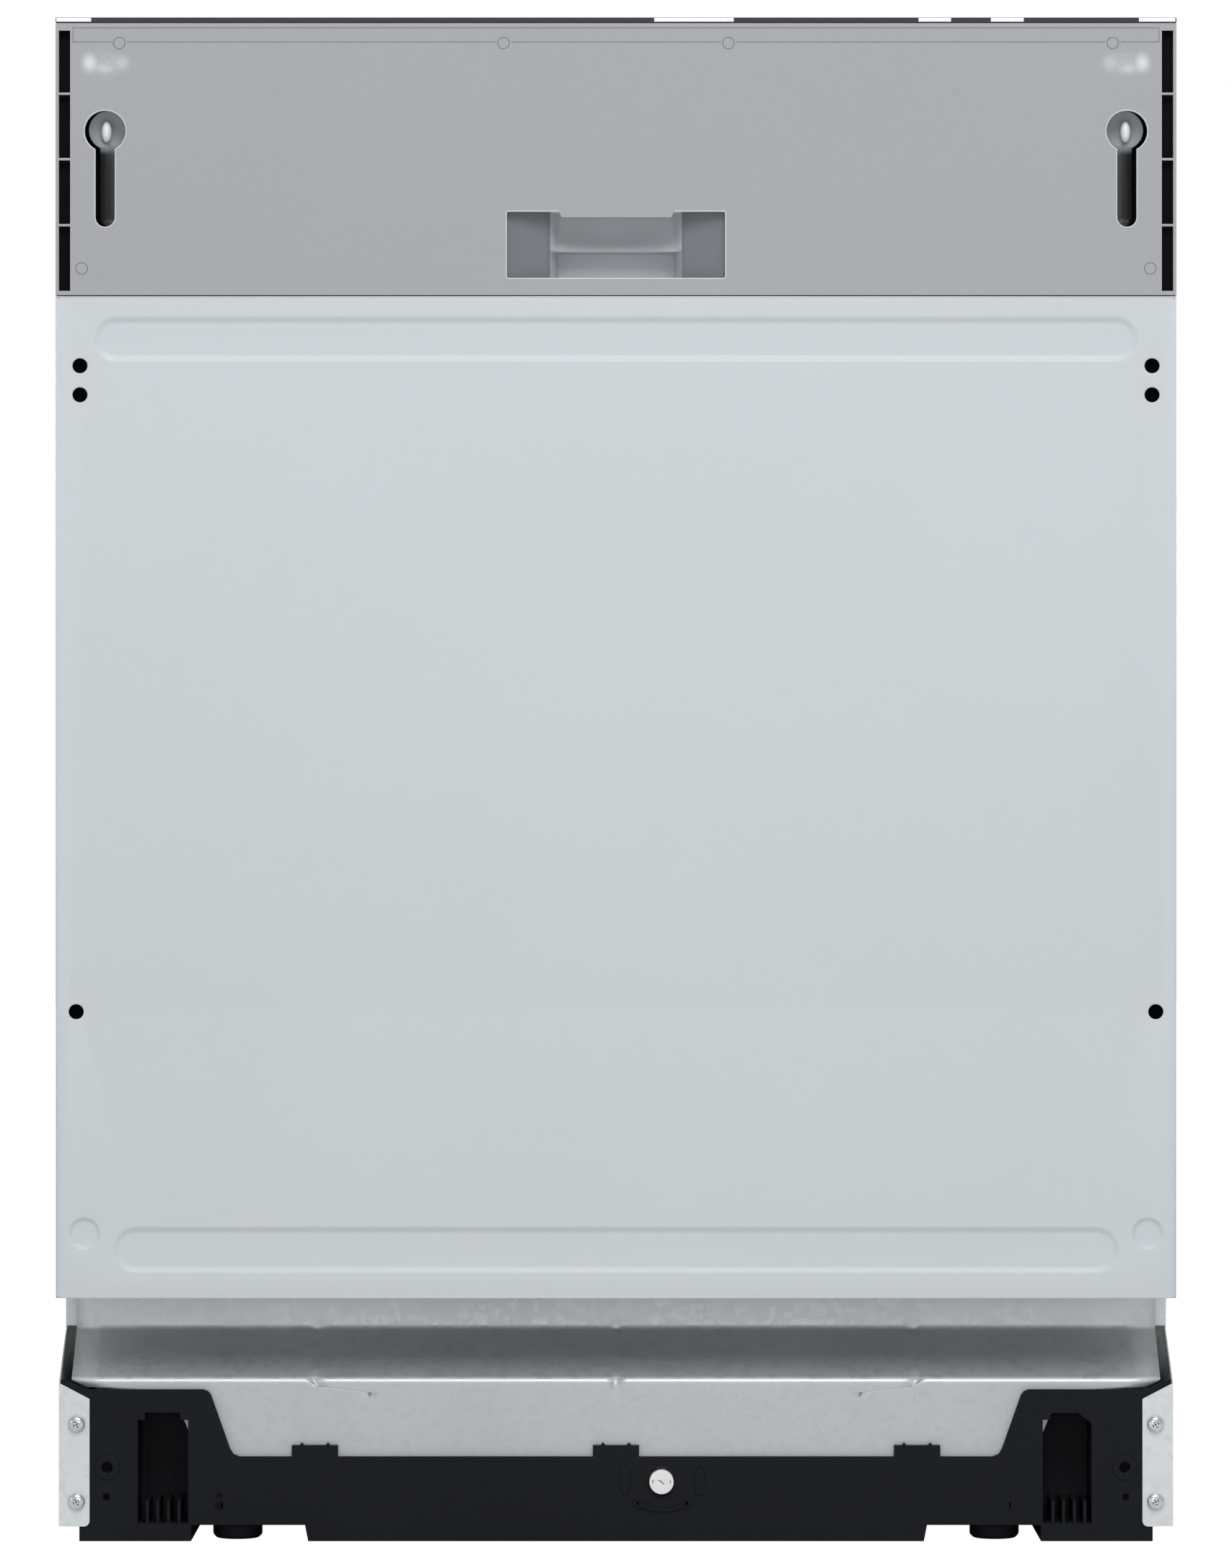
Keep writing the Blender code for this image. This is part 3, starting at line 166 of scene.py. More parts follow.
# %% Spangle: the flat crystals of hot-dip zinc, each with its own brightness
WOBBLE, STREAK_SHARE = 0.012, 0.45
spangle, g_in, g_out, place = new_group("spangle", {"Scale": 120.0, "Height": 0.15}, BOTH)
wobble = add(spangle, "ShaderNodeTexNoise", scale=60.0, detail=2.0)
warp = add(spangle, "ShaderNodeVectorMath", operation="MULTIPLY_ADD")
warp.inputs[1].default_value = (WOBBLE, WOBBLE, WOBBLE)
cells = add(spangle, "ShaderNodeTexVoronoi", feature="F1")
grey = add(spangle, "ShaderNodeSeparateColor")
streaks = add(spangle, "ShaderNodeTexNoise", scale=420.0, detail=3.0)
blend = add(spangle, "ShaderNodeMath", operation="MULTIPLY_ADD")
blend.inputs[1].default_value = STREAK_SHARE
link(spangle, (place, "Object", wobble, "Vector"), (place, "Object", streaks, "Vector"),
     (wobble, "Color", warp, 0), (place, "Object", warp, 2), (warp, "Vector", cells, "Vector"),
     (g_in, "Scale", cells, "Scale"), (cells, "Color", grey, "Color"),
     (streaks, "Fac", blend, 0), (grey, "Red", blend, 2))
give_out(spangle, g_in, g_out, blend, "Value", 0.0002)

# %% Brushing: noise drawn out along one direction
brushing, g_in, g_out, place = new_group("brushing", {"Across": 1800.0, "Height": 0.1}, BOTH)
stretch = add(brushing, "ShaderNodeMapping")
stretch.inputs["Scale"].default_value = (0.02, 1.0, 1.0)
lines = add(brushing, "ShaderNodeTexNoise", detail=4.0, roughness=0.6)
link(brushing, (place, "Object", stretch, "Vector"), (stretch, "Vector", lines, "Vector"),
     (g_in, "Across", lines, "Scale"))
give_out(brushing, g_in, g_out, lines, "Fac", 0.0001)

# %% Clouds: slow differences of tone over a hand's breadth
clouds, g_in, g_out, place = new_group("clouds", {"Scale": 9.0}, {"Mask": FLOAT})
drift = add(clouds, "ShaderNodeTexNoise", detail=3.0, roughness=0.5)
spread = span(clouds, 0.3, 0.7)
link(clouds, (place, "Object", drift, "Vector"), (g_in, "Scale", drift, "Scale"),
     (drift, "Fac", spread, "Value"), (spread, "Result", g_out, "Mask"))
print("node groups:", [group.name for group in bpy.data.node_groups])

# %% [markdown]
# A finish joins these effects to one Principled shader. Two tones are mixed by the cloud mask and
# then by the fine mask, and the roughness swings a little with the fine mask too, so that
# highlights break up the way they do on a real moulding or sheet.

# %% A finish from one fine effect and the clouds
def tone(colour, factor):
    return (*(min(1.0, channel * factor) for channel in colour), 1.0)


def finish(name, colour, roughness, effect=grain, metallic=0.0, fine=0.03, cloudy=0.02,
           swing=0.05, specular=0.5, coat_and_painted_shade=0.0, **effect_inputs):
    """A material whose colour and roughness vary with a fine effect and slow clouds."""
    material = bpy.data.materials.new(name)
    material.use_nodes = True
    tree = material.node_tree
    shader = tree.nodes["Principled BSDF"]
    shader.inputs["Metallic"].default_value = metallic
    shader.inputs["Specular IOR Level"].default_value = specular
    shader.inputs["Coat Weight"].default_value = coat_and_painted_shade
    shader.inputs["Coat Roughness"].default_value = 0.08
    detail = add(tree, "ShaderNodeGroup", node_tree=effect)
    for title, value in effect_inputs.items():
        detail.inputs[title].default_value = value
    slow = add(tree, "ShaderNodeGroup", node_tree=clouds)
    broad = add(tree, "ShaderNodeMix", data_type="RGBA")
    broad.inputs[6].default_value = tone(colour, 1 - cloudy)
    broad.inputs[7].default_value = tone(colour, 1 + cloudy)
    small = add(tree, "ShaderNodeMix", data_type="RGBA", blend_type="MULTIPLY")
    small.inputs["Factor"].default_value = 1.0
    ramp = span(tree, 0.25, 0.75, 1 - fine, 1 + fine)
    rough = span(tree, 0.25, 0.75, max(0.02, roughness - swing), min(1.0, roughness + swing))
    link(tree, (slow, "Mask", broad, "Factor"), (broad, 2, small, 6),
         (detail, "Mask", ramp, "Value"), (ramp, "Result", small, 7),
         (small, 2, shader, "Base Color"), (detail, "Mask", rough, "Value"),
         (rough, "Result", shader, "Roughness"), (detail, "Normal", shader, "Normal"))
    return material


# %% The machine's finishes
door_paint = finish("door_paint", (0.545, 0.578, 0.602), 0.42, Scale=900.0, Height=0.06,
                    fine=0.012, cloudy=0.008, specular=0.35)
fascia_plastic_with_sheen = finish("fascia_plastic_with_sheen", (0.345, 0.353, 0.372), 0.5, Scale=1500.0, Height=0.22,
                        fine=0.05, cloudy=0.01, specular=0.35)
recess_plastic_and_line_shade = finish("recess_plastic_and_line_shade", (0.158, 0.172, 0.192), 0.5, Scale=1300.0, Height=0.15,
                        fine=0.04, specular=0.4)
base_plastic = finish("base_plastic", (0.0105, 0.0115, 0.0145), 0.45, Scale=1100.0, Height=0.18,
                      fine=0.12, cloudy=0.06, specular=0.06)
dark_plastic = finish("dark_plastic", (0.055, 0.06, 0.067), 0.42, Scale=1000.0, Height=0.12,
                      fine=0.06, cloudy=0.04)
part_plastic = finish("part_plastic", (0.25, 0.265, 0.285), 0.4, Scale=900.0, Height=0.1,
                      fine=0.04, cloudy=0.03)
white_plastic = finish("white_plastic", (0.74, 0.75, 0.745), 0.38, Scale=800.0, Height=0.08,
                       fine=0.02, cloudy=0.03)
gloss_black = finish("gloss_black", (0.03, 0.03, 0.032), 0.12, Scale=500.0, Height=0.02,
                     fine=0.02, swing=0.02, coat_and_painted_shade=0.4)
zinc_sheet = finish("zinc_sheet", (0.62, 0.65, 0.67), 0.42, effect=spangle, metallic=0.4,
                    Scale=260.0, Height=0.05, fine=0.05, cloudy=0.05, swing=0.06)
zinc_screw = finish("zinc_screw", (0.68, 0.69, 0.70), 0.24, metallic=1.0, Scale=700.0,
                    Height=0.06, fine=0.06, cloudy=0.05)
tub_steel = finish("tub_steel", (0.60, 0.60, 0.59), 0.27, effect=brushing, metallic=1.0,
                   Across=1500.0, Height=0.06, fine=0.05, cloudy=0.03)
seal_rubber = finish("seal_rubber", (0.018, 0.018, 0.019), 0.7, Scale=600.0, Height=0.2,
                     fine=0.1, cloudy=0.08)
rack_nylon = finish("rack_nylon", (0.36, 0.37, 0.39), 0.36, Scale=500.0, Height=0.05,
                    fine=0.03, cloudy=0.03)
felt = finish("felt", (0.045, 0.045, 0.047), 0.92, Scale=260.0, Height=0.9, Detail=6.0,
              fine=0.5, cloudy=0.2, specular=0.2)
board_green = finish("board_green", (0.02, 0.15, 0.065), 0.4, Scale=300.0, Height=0.1, fine=0.1)
shadow_black = finish("shadow_black", (0.003, 0.003, 0.0035), 0.8, Scale=300.0, Height=0.1,
                      fine=0.1, specular=0.1)
key_mark = finish("key_mark", (0.85, 0.86, 0.87), 0.4, Scale=900.0, Height=0.02, fine=0.01)
print(len(bpy.data.materials), "materials")

# %% [markdown]
# ## Making pieces
# A finished piece is a mesh at the origin, in the machine's own coordinates. It says which body it
# moves with, which finish it takes, and which plain piece it stands for.

# %% Helper: from a bmesh to a finished piece
def piece(name, mesh, material, body, replaces=(), smooth=35):
    bmesh.ops.recalc_face_normals(mesh, faces=mesh.faces)
    data = bpy.data.meshes.new(name)
    mesh.to_mesh(data)
    mesh.free()
    data.shade_smooth()
    data.set_sharp_from_angle(angle=math.radians(smooth))
    data.materials.append(material)
    obj = bpy.data.objects.new(name, data)
    bpy.context.scene.collection.objects.link(obj)
    if replaces:
        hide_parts(*replaces)
    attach(obj, body)
    return obj


def soften(obj, width, segments=3, angle=30):
    """Rounded edges that keep the flats flat."""
    bevel = obj.modifiers.new("soft edges", "BEVEL")
    bevel.width = width
    bevel.segments = segments
    bevel.limit_method = "ANGLE"
    bevel.angle_limit = math.radians(angle)
    bevel.harden_normals = True
    return obj


def thicken(obj, thickness, offset):
    """A sheet's thickness: offset 1 adds it outside the surface, -1 inside, 0 half each."""
    wall = obj.modifiers.new("wall", "SOLIDIFY")
    wall.thickness, wall.offset = thickness, offset


# %% [markdown]
# Many pieces keep their working shape and only need softer edges. A copy of the working mesh is
# welded and its flat areas are joined up first, so that the bevel meets real edges only.

# %% Helper: a refined copy of a working piece
record = frame["record"]
bodies = {node: body for body, held in record["behaviour"]["bodies"].items() for node in held}


def working_mesh(node):
    mesh = bmesh.new()
    mesh.from_mesh(nodes[node].data)
    bmesh.ops.transform(mesh, matrix=nodes[node].matrix_world, verts=mesh.verts)
    bmesh.ops.remove_doubles(mesh, verts=mesh.verts, dist=1e-6)
    bmesh.ops.dissolve_limit(mesh, angle_limit=math.radians(0.5), verts=mesh.verts,
                             edges=mesh.edges)
    return mesh


def refine(node, material, width, segments=3, angle=30):
    obj = piece(node + "_finished", working_mesh(node), material, bodies[node],
                [node], smooth=angle)
    return soften(obj, width * MM, segments, angle)


# %% [markdown]
# Outlines are lists of points, computed from the same few numbers that a drawing would give: arcs,
# rounded rectangles, long slots and keyholes.

# %% Helpers for outlines
def arc(centre, radius, start, end, steps):
    angles = [math.radians(start + (end - start) * i / steps) for i in range(steps + 1)]
    return [(centre[0] + radius * math.cos(a), centre[1] + radius * math.sin(a)) for a in angles]


def circle(centre, radius, steps=40):
    return arc(centre, radius, 0, 360 - 360 / steps, steps - 1)


def rounded(low, high, radius, steps=6):
    """A rectangle with round corners, counter-clockwise from the lower right."""
    (x0, z0), (x1, z1) = low, high
    points = []
    for centre, start in (((x1 - radius, z0 + radius), -90), ((x1 - radius, z1 - radius), 0),
                          ((x0 + radius, z1 - radius), 90), ((x0 + radius, z0 + radius), 180)):
        points += arc(centre, radius, start, start + 90, steps)
    return points


def keyhole(centre, radius, slot_half, slot_bottom):
    """A round hole with a slot hanging from it."""
    meet = math.degrees(math.asin(min(1, slot_half / radius)))
    top = arc(centre, radius, -90 + meet, 270 - meet, 40)
    end = arc((centre[0], slot_bottom + slot_half), slot_half, 180, 360, 12)
    return top + end


def ring(mesh, outline, y):
    """The outline as a closed loop of edges in an upright plane."""
    verts = [mesh.verts.new((u, y, v)) for u, v in outline]
    return [mesh.edges.new((verts[i - 1], verts[i])) for i in range(len(verts))]


def lofted(mesh, outlines):
    """Outlines with equal numbers of points, each at its own y, joined one to the next."""
    loops = [ring(mesh, outline, y) for outline, y in outlines]
    for one, two in zip(loops, loops[1:]):
        bmesh.ops.bridge_loops(mesh, edges=one + two)
    return loops


def curve(start, corner, end, steps):
    """Points on the soft curve that a corner pulls out of a straight line."""
    return [start * (1 - t) ** 2 + corner * 2 * t * (1 - t) + end * t ** 2
            for t in (i / steps for i in range(steps + 1))]


def moved_verts(geom):
    return [item for item in geom if isinstance(item, bmesh.types.BMVert)]


def block(mesh, size, matrix):
    """A small box, turned and placed."""
    verts = bmesh.ops.create_cube(mesh, size=1)["verts"]
    bmesh.ops.transform(mesh, verts=verts, matrix=matrix @ Matrix.Diagonal((*size, 1)))


def slab(mesh, outline, y_front, y_back):
    """A flat plate with the outline, closed all round."""
    verts = [mesh.verts.new((u, y_front, v)) for u, v in outline]
    face = mesh.faces.new(verts)
    grown = bmesh.ops.extrude_face_region(mesh, geom=[face])["geom"]
    bmesh.ops.translate(mesh, vec=(0, y_back - y_front, 0), verts=moved_verts(grown))


# %% [markdown]
# ## The door sheet
# The door is one painted steel sheet. Two long ribs are pressed into it to keep it from drumming,
# along with two round beads near its foot, and it has two pairs of holes near its top and one pair
# lower down. A press leaves a slope with a round bend at its top and at its foot, so each pressed
# shape is a row of outlines, one inside the other, that sink along a soft S.

# %% Lay out the pressed sheet
STEEL = 0.8 * MM
BEND = 1.2 * MM
RIB_DEPTH = 1.6 * MM
RIBS = ((279 * MM, 631.0 * MM, 655.9 * MM), (269 * MM, 144.9 * MM, 170.6 * MM))
BEAD = (283.7 * MM, 166.4 * MM, 9.1 * MM)
HOLES = ((286 * MM, 629.2 * MM), (286 * MM, 613.7 * MM), (288 * MM, 284.7 * MM))
SLOPE, BEAD_SLOPE = 4.2 * MM, 3 * MM
HOLE_RADIUS, HOLE_LIP = 4.0, 0.45
SHARE = (0, 0.06, 0.15, 0.32, 0.5, 0.68, 0.85, 0.94, 1)


def pressed(mesh, shape, y, depth):
    """Press a shape in along a soft S; shape(t) is its outline at a share t of the slope."""
    loops = lofted(mesh, [(shape(t), y + depth * (3 * t * t - 2 * t ** 3)) for t in SHARE])
    bmesh.ops.triangle_fill(mesh, use_beauty=True, edges=loops[-1])
    return loops[0]


def rib_outline(x0, x1, z0, z1, slope, radius, steps):
    return lambda t: rounded((x0 + slope * t, z0 + slope * t), (x1 - slope * t, z1 - slope * t),
                             radius - slope * t, steps)


sheet = bmesh.new()
flat_low, flat_high = (-HALF + BEND, door_low.z + BEND), (HALF - BEND, door_high.z - BEND)
edge_loop = ring(sheet, rounded(flat_low, flat_high, 0.6 * MM, 2), FRONT)
face_edges = list(edge_loop)
for half, low, high in RIBS:
    face_edges += pressed(sheet, rib_outline(-half, half, low, high, SLOPE,
                                             (high - low) / 2 - 0.2 * MM, 10), FRONT, RIB_DEPTH)
for side in (-1, 1):
    x, z, radius = BEAD
    centre = (side * x, z)
    face_edges += pressed(sheet, lambda t: circle(centre, radius - BEAD_SLOPE * t), FRONT,
                          RIB_DEPTH)
    for x, z in HOLES:
        centre = (side * x, z)
        lip = [(circle(centre, (HOLE_RADIUS + HOLE_LIP * (1 - math.sin(a))) * MM, 32),
                FRONT + HOLE_LIP * MM * (1 - math.cos(a)))
               for a in (math.pi / 2 * i / 4 for i in range(5))]
        lip.append((circle(centre, HOLE_RADIUS * MM, 32), FRONT + 1.3 * MM))
        face_edges += lofted(sheet, lip)[0]
bmesh.ops.triangle_fill(sheet, use_beauty=True, edges=face_edges)
print("pressed sheet:", len(sheet.faces), "faces")

# %% [markdown]
# The sheet's edges are folded back round a small radius and then run straight back, which is what
# makes such a thin sheet stiff. The fold is drawn out of the boundary edges in a few short steps.

# %% Fold the edges back
outer = [edge for edge in sheet.edges if edge.is_boundary and all(
    not (flat_low[0] + 1e-5 < v.co.x < flat_high[0] - 1e-5
         and flat_low[1] + 1e-5 < v.co.z < flat_high[1] - 1e-5) for v in edge.verts)]
for step in range(1, 6):
    angle = math.pi / 2 * step / 5
    grown = bmesh.ops.extrude_edge_only(sheet, edges=outer)["geom"]
    outer = [item for item in grown if isinstance(item, bmesh.types.BMEdge) and item.is_boundary]
    out, back = BEND * math.sin(angle), BEND * (1 - math.cos(angle))
    for vert in moved_verts(grown):
        x = min(max(vert.co.x, flat_low[0]), flat_high[0])
        z = min(max(vert.co.z, flat_low[1]), flat_high[1])
        if abs(vert.co.x) >= flat_high[0] - 0.7 * MM:
            vert.co.x = math.copysign(flat_high[0] + out, vert.co.x)
        if vert.co.z <= flat_low[1] + 0.7 * MM:
            vert.co.z = flat_low[1] - out
        elif vert.co.z >= flat_high[1] - 0.7 * MM:
            vert.co.z = flat_high[1] + out
        vert.co.y = FRONT + back
grown = bmesh.ops.extrude_edge_only(sheet, edges=outer)["geom"]
for vert in moved_verts(grown):
    vert.co.y = FRONT + 14.5 * MM
door_sheet = piece("door_sheet", sheet, door_paint, "door",
                   ["door_outer_panel"])
thicken(door_sheet, STEEL, -1)
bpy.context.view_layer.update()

# %% [markdown]
# ## The fascia
# Above the sheet sits a moulded fascia. It carries the handle and, at its top corners, the two
# keyholes that the furniture front hangs from. The moulding itself only needs softer edges; its
# marks are moulded on: a panel outline under the key strip, small rings left by the ejector pins
# and screw bosses, each hardly higher than a sheet of paper. Their dark colour is painted shade.

# %% The moulding and its raised marks, darkened with painted shade
refine("control_fascia", fascia_plastic_with_sheen, 0.35)
FACE = fascia_low.y


def hoop(mesh, centre, radius, thickness, y, steps=40):
    """A thin round bead: a small circle of points spun about an axis through the face."""
    verts = [mesh.verts.new((centre[0] + radius + u, y + v, centre[1]))
             for u, v in circle((0, 0), thickness, 8)]
    edges = [mesh.edges.new((verts[i - 1], verts[i])) for i in range(8)]
    bmesh.ops.spin(mesh, geom=verts + edges, cent=(centre[0], y, centre[1]), axis=(0, 1, 0),
                   angle=2 * math.pi, steps=steps, use_merge=True)


def dash(mesh, low, high, y, height):
    """A thin raised line on the face, from corner to corner."""
    slab(mesh, [(low[0], low[1]), (high[0], low[1]), (high[0], high[1]), (low[0], high[1])],
         y, y - height)


LINE = 0.16 * MM
PANEL_HALF, PANEL_LOW, PANEL_HIGH = 289.7 * MM, 801.9 * MM, 809.4 * MM
RING_AT = (60 * MM, 265 * MM)
marks = bmesh.new()
dash(marks, (-PANEL_HALF, PANEL_HIGH - LINE), (PANEL_HALF, PANEL_HIGH + LINE), FACE, 0.12 * MM)
for side in (-1, 1):
    across = sorted((side * PANEL_HALF - LINE, side * PANEL_HALF + LINE))
    dash(marks, (across[0], PANEL_LOW), (across[1], PANEL_HIGH), FACE, 0.12 * MM)
stops = [-PANEL_HALF]
for x in (-RING_AT[1], -RING_AT[0], RING_AT[0], RING_AT[1]):
    stops += [x - 4.2 * MM, x + 4.2 * MM]
stops.append(PANEL_HALF)
for start, end in zip(stops[::2], stops[1::2]):
    dash(marks, (start, PANEL_LOW - LINE), (end, PANEL_LOW + LINE), FACE, 0.12 * MM)
for side in (-1, 1):
    for x in RING_AT:
        hoop(marks, (side * x, 801.3 * MM), 3.1 * MM, 0.2 * MM, FACE)
    hoop(marks, (side * 285 * MM, 681.1 * MM), 3.1 * MM, 0.2 * MM, FACE)
# The lines and rings take the dark recess plastic: painted shade along these low raised marks.
piece("fascia_shadow_lines", marks, recess_plastic_and_line_shade, "door")

bosses = bmesh.new()
for x, z, size in ((-270.5, 792.3, 3.3), (270.5, 792.3, 3.3), (-181.7, 776.6, 2.0),
                   (181.7, 776.6, 2.0), (0.4, 776.8, 2.0)):
    lofted(bosses, [(circle((x * MM, z * MM), size * radius * MM, 32), FACE - height * MM)
                    for radius, height in ((1, -0.02), (0.92, 0.1), (0.72, 0.16), (0.42, 0.12),
                                           (0.3, -0.3), (0.02, -0.3))])
piece("fascia_bosses", bosses, fascia_plastic_with_sheen, "door")
print("fascia details ready")

# %% [markdown]
# Beside each end of the fascia a column of slots lets the clips through. Behind them it is dark,
# and so it is behind the holes in the sheet: a thin black sheet behind the slots and a black cup
# behind each hole close them as painted shade.

# %% Painted shade: black sheets behind the slots and black cups behind the holes
shade_fill = bmesh.new()
for side in (-1, 1):
    across = sorted((side * 291.0 * MM, side * 297.5 * MM))
    dash(shade_fill, (across[0], 668.6 * MM), (across[1], 808.4 * MM), FACE + 5 * MM, 0.4 * MM)
    for x, z in HOLES:
        centre = (side * x, z)
        lofted(shade_fill, [(circle(centre, r * MM, 28), FRONT + y * MM) for r, y in
                        ((4.9, 1.0), (4.7, 6.0), (3.4, 7.5), (0.02, 7.6))])
# These black pieces are painted shade inside the openings.
piece("slot_shade_fill", shade_fill, shadow_black, "door")

# %% [markdown]
# Each keyhole opens onto a spoon-shaped hanger seat: a channel with a round bottom that ends in a
# bowl. Its depth at any point is set by the distance to its own edge, so the seat is a row of
# shrinking keyhole outlines. It sits a little towards the middle, which leaves a dark gap at its
# outer edge; behind it a black plate stands in as painted shade. A pale stud in the bowl is a
# painted highlight, and the pale rim round each keyhole is a painted highlight on its edge.

# %% The hanger seats, a painted highlight round each keyhole, and painted shade behind it
KEY_X, KEY_Z, KEY_R, KEY_SLOT, KEY_FOOT = 272.6 * MM, 754.4 * MM, 11.1 * MM, 5.35 * MM, 703.1 * MM
SEAT_R, SEAT_SLOT, SEAT_DEPTH, SEAT_SHIFT = 10.3 * MM, 4.3 * MM, 8.5 * MM, 1.5 * MM
RIM = [(grow * MM, y * MM) for grow, y in
       ((0.35, -0.02), (0.15, -0.12), (-0.1, 0.0), (-0.22, 0.4), (-0.25, 2.4))]
seats, rim_highlights, shade_plates = bmesh.new(), bmesh.new(), bmesh.new()
for side in (-1, 1):
    centre = (side * (KEY_X - SEAT_SHIFT), KEY_Z + 0.6 * MM)
    rows = []
    for step in range(12):
        inset = SEAT_R * (1 - math.cos(math.pi / 2 * step / 11)) * 0.985
        slot_half = max(SEAT_SLOT - inset, 0.02 * MM)
        depth = math.sqrt(max(0, 1 - (1 - min(inset / SEAT_R, 1)) ** 2)) * SEAT_DEPTH
        rows.append((keyhole(centre, SEAT_R - inset, min(slot_half, (SEAT_R - inset) * 0.97),
                             KEY_FOOT + 0.8 * MM + inset), FACE + 3.2 * MM + depth))
    lofted(seats, rows)
    hole = (side * KEY_X, KEY_Z)
    lofted(rim_highlights, [(keyhole(hole, KEY_R + grow, KEY_SLOT + grow, KEY_FOOT - grow), FACE + y)
                  for grow, y in RIM])
    wide = keyhole(hole, KEY_R + 1.5 * MM, KEY_SLOT + 1.5 * MM, KEY_FOOT - 1.5 * MM)
    slab(shade_plates, wide, FACE + 12.4 * MM, FACE + 12.8 * MM)
    lofted(shade_plates, [(wide, FACE + y * MM) for y in (2.7, 12.4)])
seat_plastic_lit_and_shaded = finish("seat_plastic_lit_and_shaded", (0.105, 0.112, 0.122), 0.22, Scale=700.0, Height=0.04,
                      fine=0.03, specular=0.8)
pale_plastic_and_rim_highlight = finish("pale_plastic_and_rim_highlight", (0.62, 0.64, 0.66), 0.35, Scale=900.0, Height=0.05, fine=0.02)
piece("hanger_seats", seats, seat_plastic_lit_and_shaded, "door")
# The pale rim round each keyhole is a painted highlight on its edge; the black plate behind is
# painted shade.
piece("keyhole_rim_highlights", rim_highlights, pale_plastic_and_rim_highlight, "door")
piece("keyhole_shade_plates", shade_plates, shadow_black, "door")
# A white stud in each bowl stands in for a painted highlight.
beads = bmesh.new()
for side in (-1, 1):
    place = Matrix.Translation((side * (KEY_X - 0.3 * MM), FACE + 8.5 * MM, KEY_Z + 0.2 * MM))
    shape = Matrix.Diagonal((2.7 * MM, 3.6 * MM, 5.6 * MM, 1))
    bmesh.ops.create_uvsphere(beads, u_segments=24, v_segments=16, radius=1,
                              matrix=place @ shape)
piece("hanger_seat_highlight_studs", beads, white_plastic, "door")
print("keyholes ready")

# %% [markdown]
# The handle is a grip that fingers reach into from the front. Its two shoulders slope inward to a
# well in the middle, and the back of the well curls forward below its lip to a ledge. The recess
# is one sheet whose depth follows a rule across and up; the sheet is a grid whose lines lie where
# the creases are.

# %% The handle's recess
GRIP_HALF, GRIP_LOW, GRIP_HIGH = 58.4 * MM, 675.9 * MM, 711.6 * MM
WELL_HALF, WELL_FOOT, LEDGE = 35.2 * MM, 31.2 * MM, 690.9 * MM
SHOULDER, DEEP = FACE + 9.6 * MM, FACE + 28.3 * MM
SHOULDER_RISE, LEDGE_REACH, WELL_STEP = 5.2 * MM, 11.5 * MM, 1.5 * MM


def grip_depth(x, z):
    across = abs(x)
    if across > WELL_HALF:
        return SHOULDER - SHOULDER_RISE * (across - WELL_HALF) / (GRIP_HALF - WELL_HALF)
    if z > LEDGE:
        rise = (z - LEDGE) / (GRIP_HIGH - LEDGE)
        middle = DEEP - LEDGE_REACH * (1 - rise) ** 2.4
    else:
        middle = DEEP + WELL_STEP
    side = max(0, (across - WELL_FOOT) / (WELL_HALF - WELL_FOOT))
    cup = 1 - 0.25 * (across / WELL_FOOT) ** 4 if z > LEDGE else 1
    floor = SHOULDER + 1 * MM + (middle - SHOULDER - 1 * MM) * min(1, cup)
    return floor + (SHOULDER + 0.4 * MM - floor) * side


across = [-GRIP_HALF, -48 * MM, -38 * MM, -WELL_HALF - 0.3 * MM, -WELL_HALF, -WELL_HALF + 0.6 * MM]
across += [-WELL_FOOT - 1.2 * MM, -WELL_FOOT, -29 * MM, -25 * MM, -19 * MM, -12 * MM, -6 * MM]
across += [0] + [-x for x in reversed(across)]
upward = [GRIP_LOW + (LEDGE - GRIP_LOW) * i / 4 for i in range(4)] + [LEDGE - 0.2 * MM]
upward += [LEDGE + 0.3 * MM] + [LEDGE + (GRIP_HIGH - LEDGE) * (i / 10) for i in range(1, 11)]
grip = bmesh.new()
bmesh.ops.create_grid(grip, x_segments=len(across) - 1, y_segments=len(upward) - 1, size=0.5)
for vert in grip.verts:
    x = across[round((vert.co.x + 0.5) * (len(across) - 1))]
    z = upward[round((vert.co.y + 0.5) * (len(upward) - 1))]
    vert.co = (x, grip_depth(x, z), z)
grown = bmesh.ops.extrude_edge_only(
    grip, edges=[edge for edge in grip.edges if edge.is_boundary])["geom"]
for vert in moved_verts(grown):
    vert.co.y = FACE + 2.6 * MM
handle_recess = piece("handle_recess", grip, recess_plastic_and_line_shade, "door",
                      ["handle_pocket"], smooth=50)
# The well's faces take a lighter copy of the recess plastic: painted light on the part that faces
# the lamp.
well_plastic_lit = finish("well_plastic_lit", (0.50, 0.52, 0.545), 0.45, Scale=1300.0, Height=0.12,
                      fine=0.03, specular=0.4)
handle_recess.data.materials.append(well_plastic_lit)
for face in handle_recess.data.polygons:
    face.material_index = int(abs(face.center.x) < WELL_HALF)
thicken(handle_recess, 1.2 * MM, 1)

# %% The lip that hangs over the well, and the painted highlight on the rim of the opening
lip = bmesh.new()
slab(lip, [(-29 * MM, 708.2 * MM), (29.5 * MM, 708.2 * MM), (31.6 * MM, 712.1 * MM),
           (-31 * MM, 712.1 * MM)], FACE - 0.16 * MM, FACE + 3 * MM)
soften(piece("handle_lip", lip, fascia_plastic_with_sheen, "door"), 0.4 * MM)
rim_highlight_line = bmesh.new()
lofted(rim_highlight_line, [(rounded((-GRIP_HALF - grow, GRIP_LOW - grow),
                             (GRIP_HALF + grow, GRIP_HIGH + grow), 1.2 * MM + grow, 6), FACE + y)
                    for grow, y in RIM])
# The pale rim round the opening is a painted highlight on its edge.
piece("handle_rim_highlight", rim_highlight_line, pale_plastic_and_rim_highlight, "door")
print("handle ready")

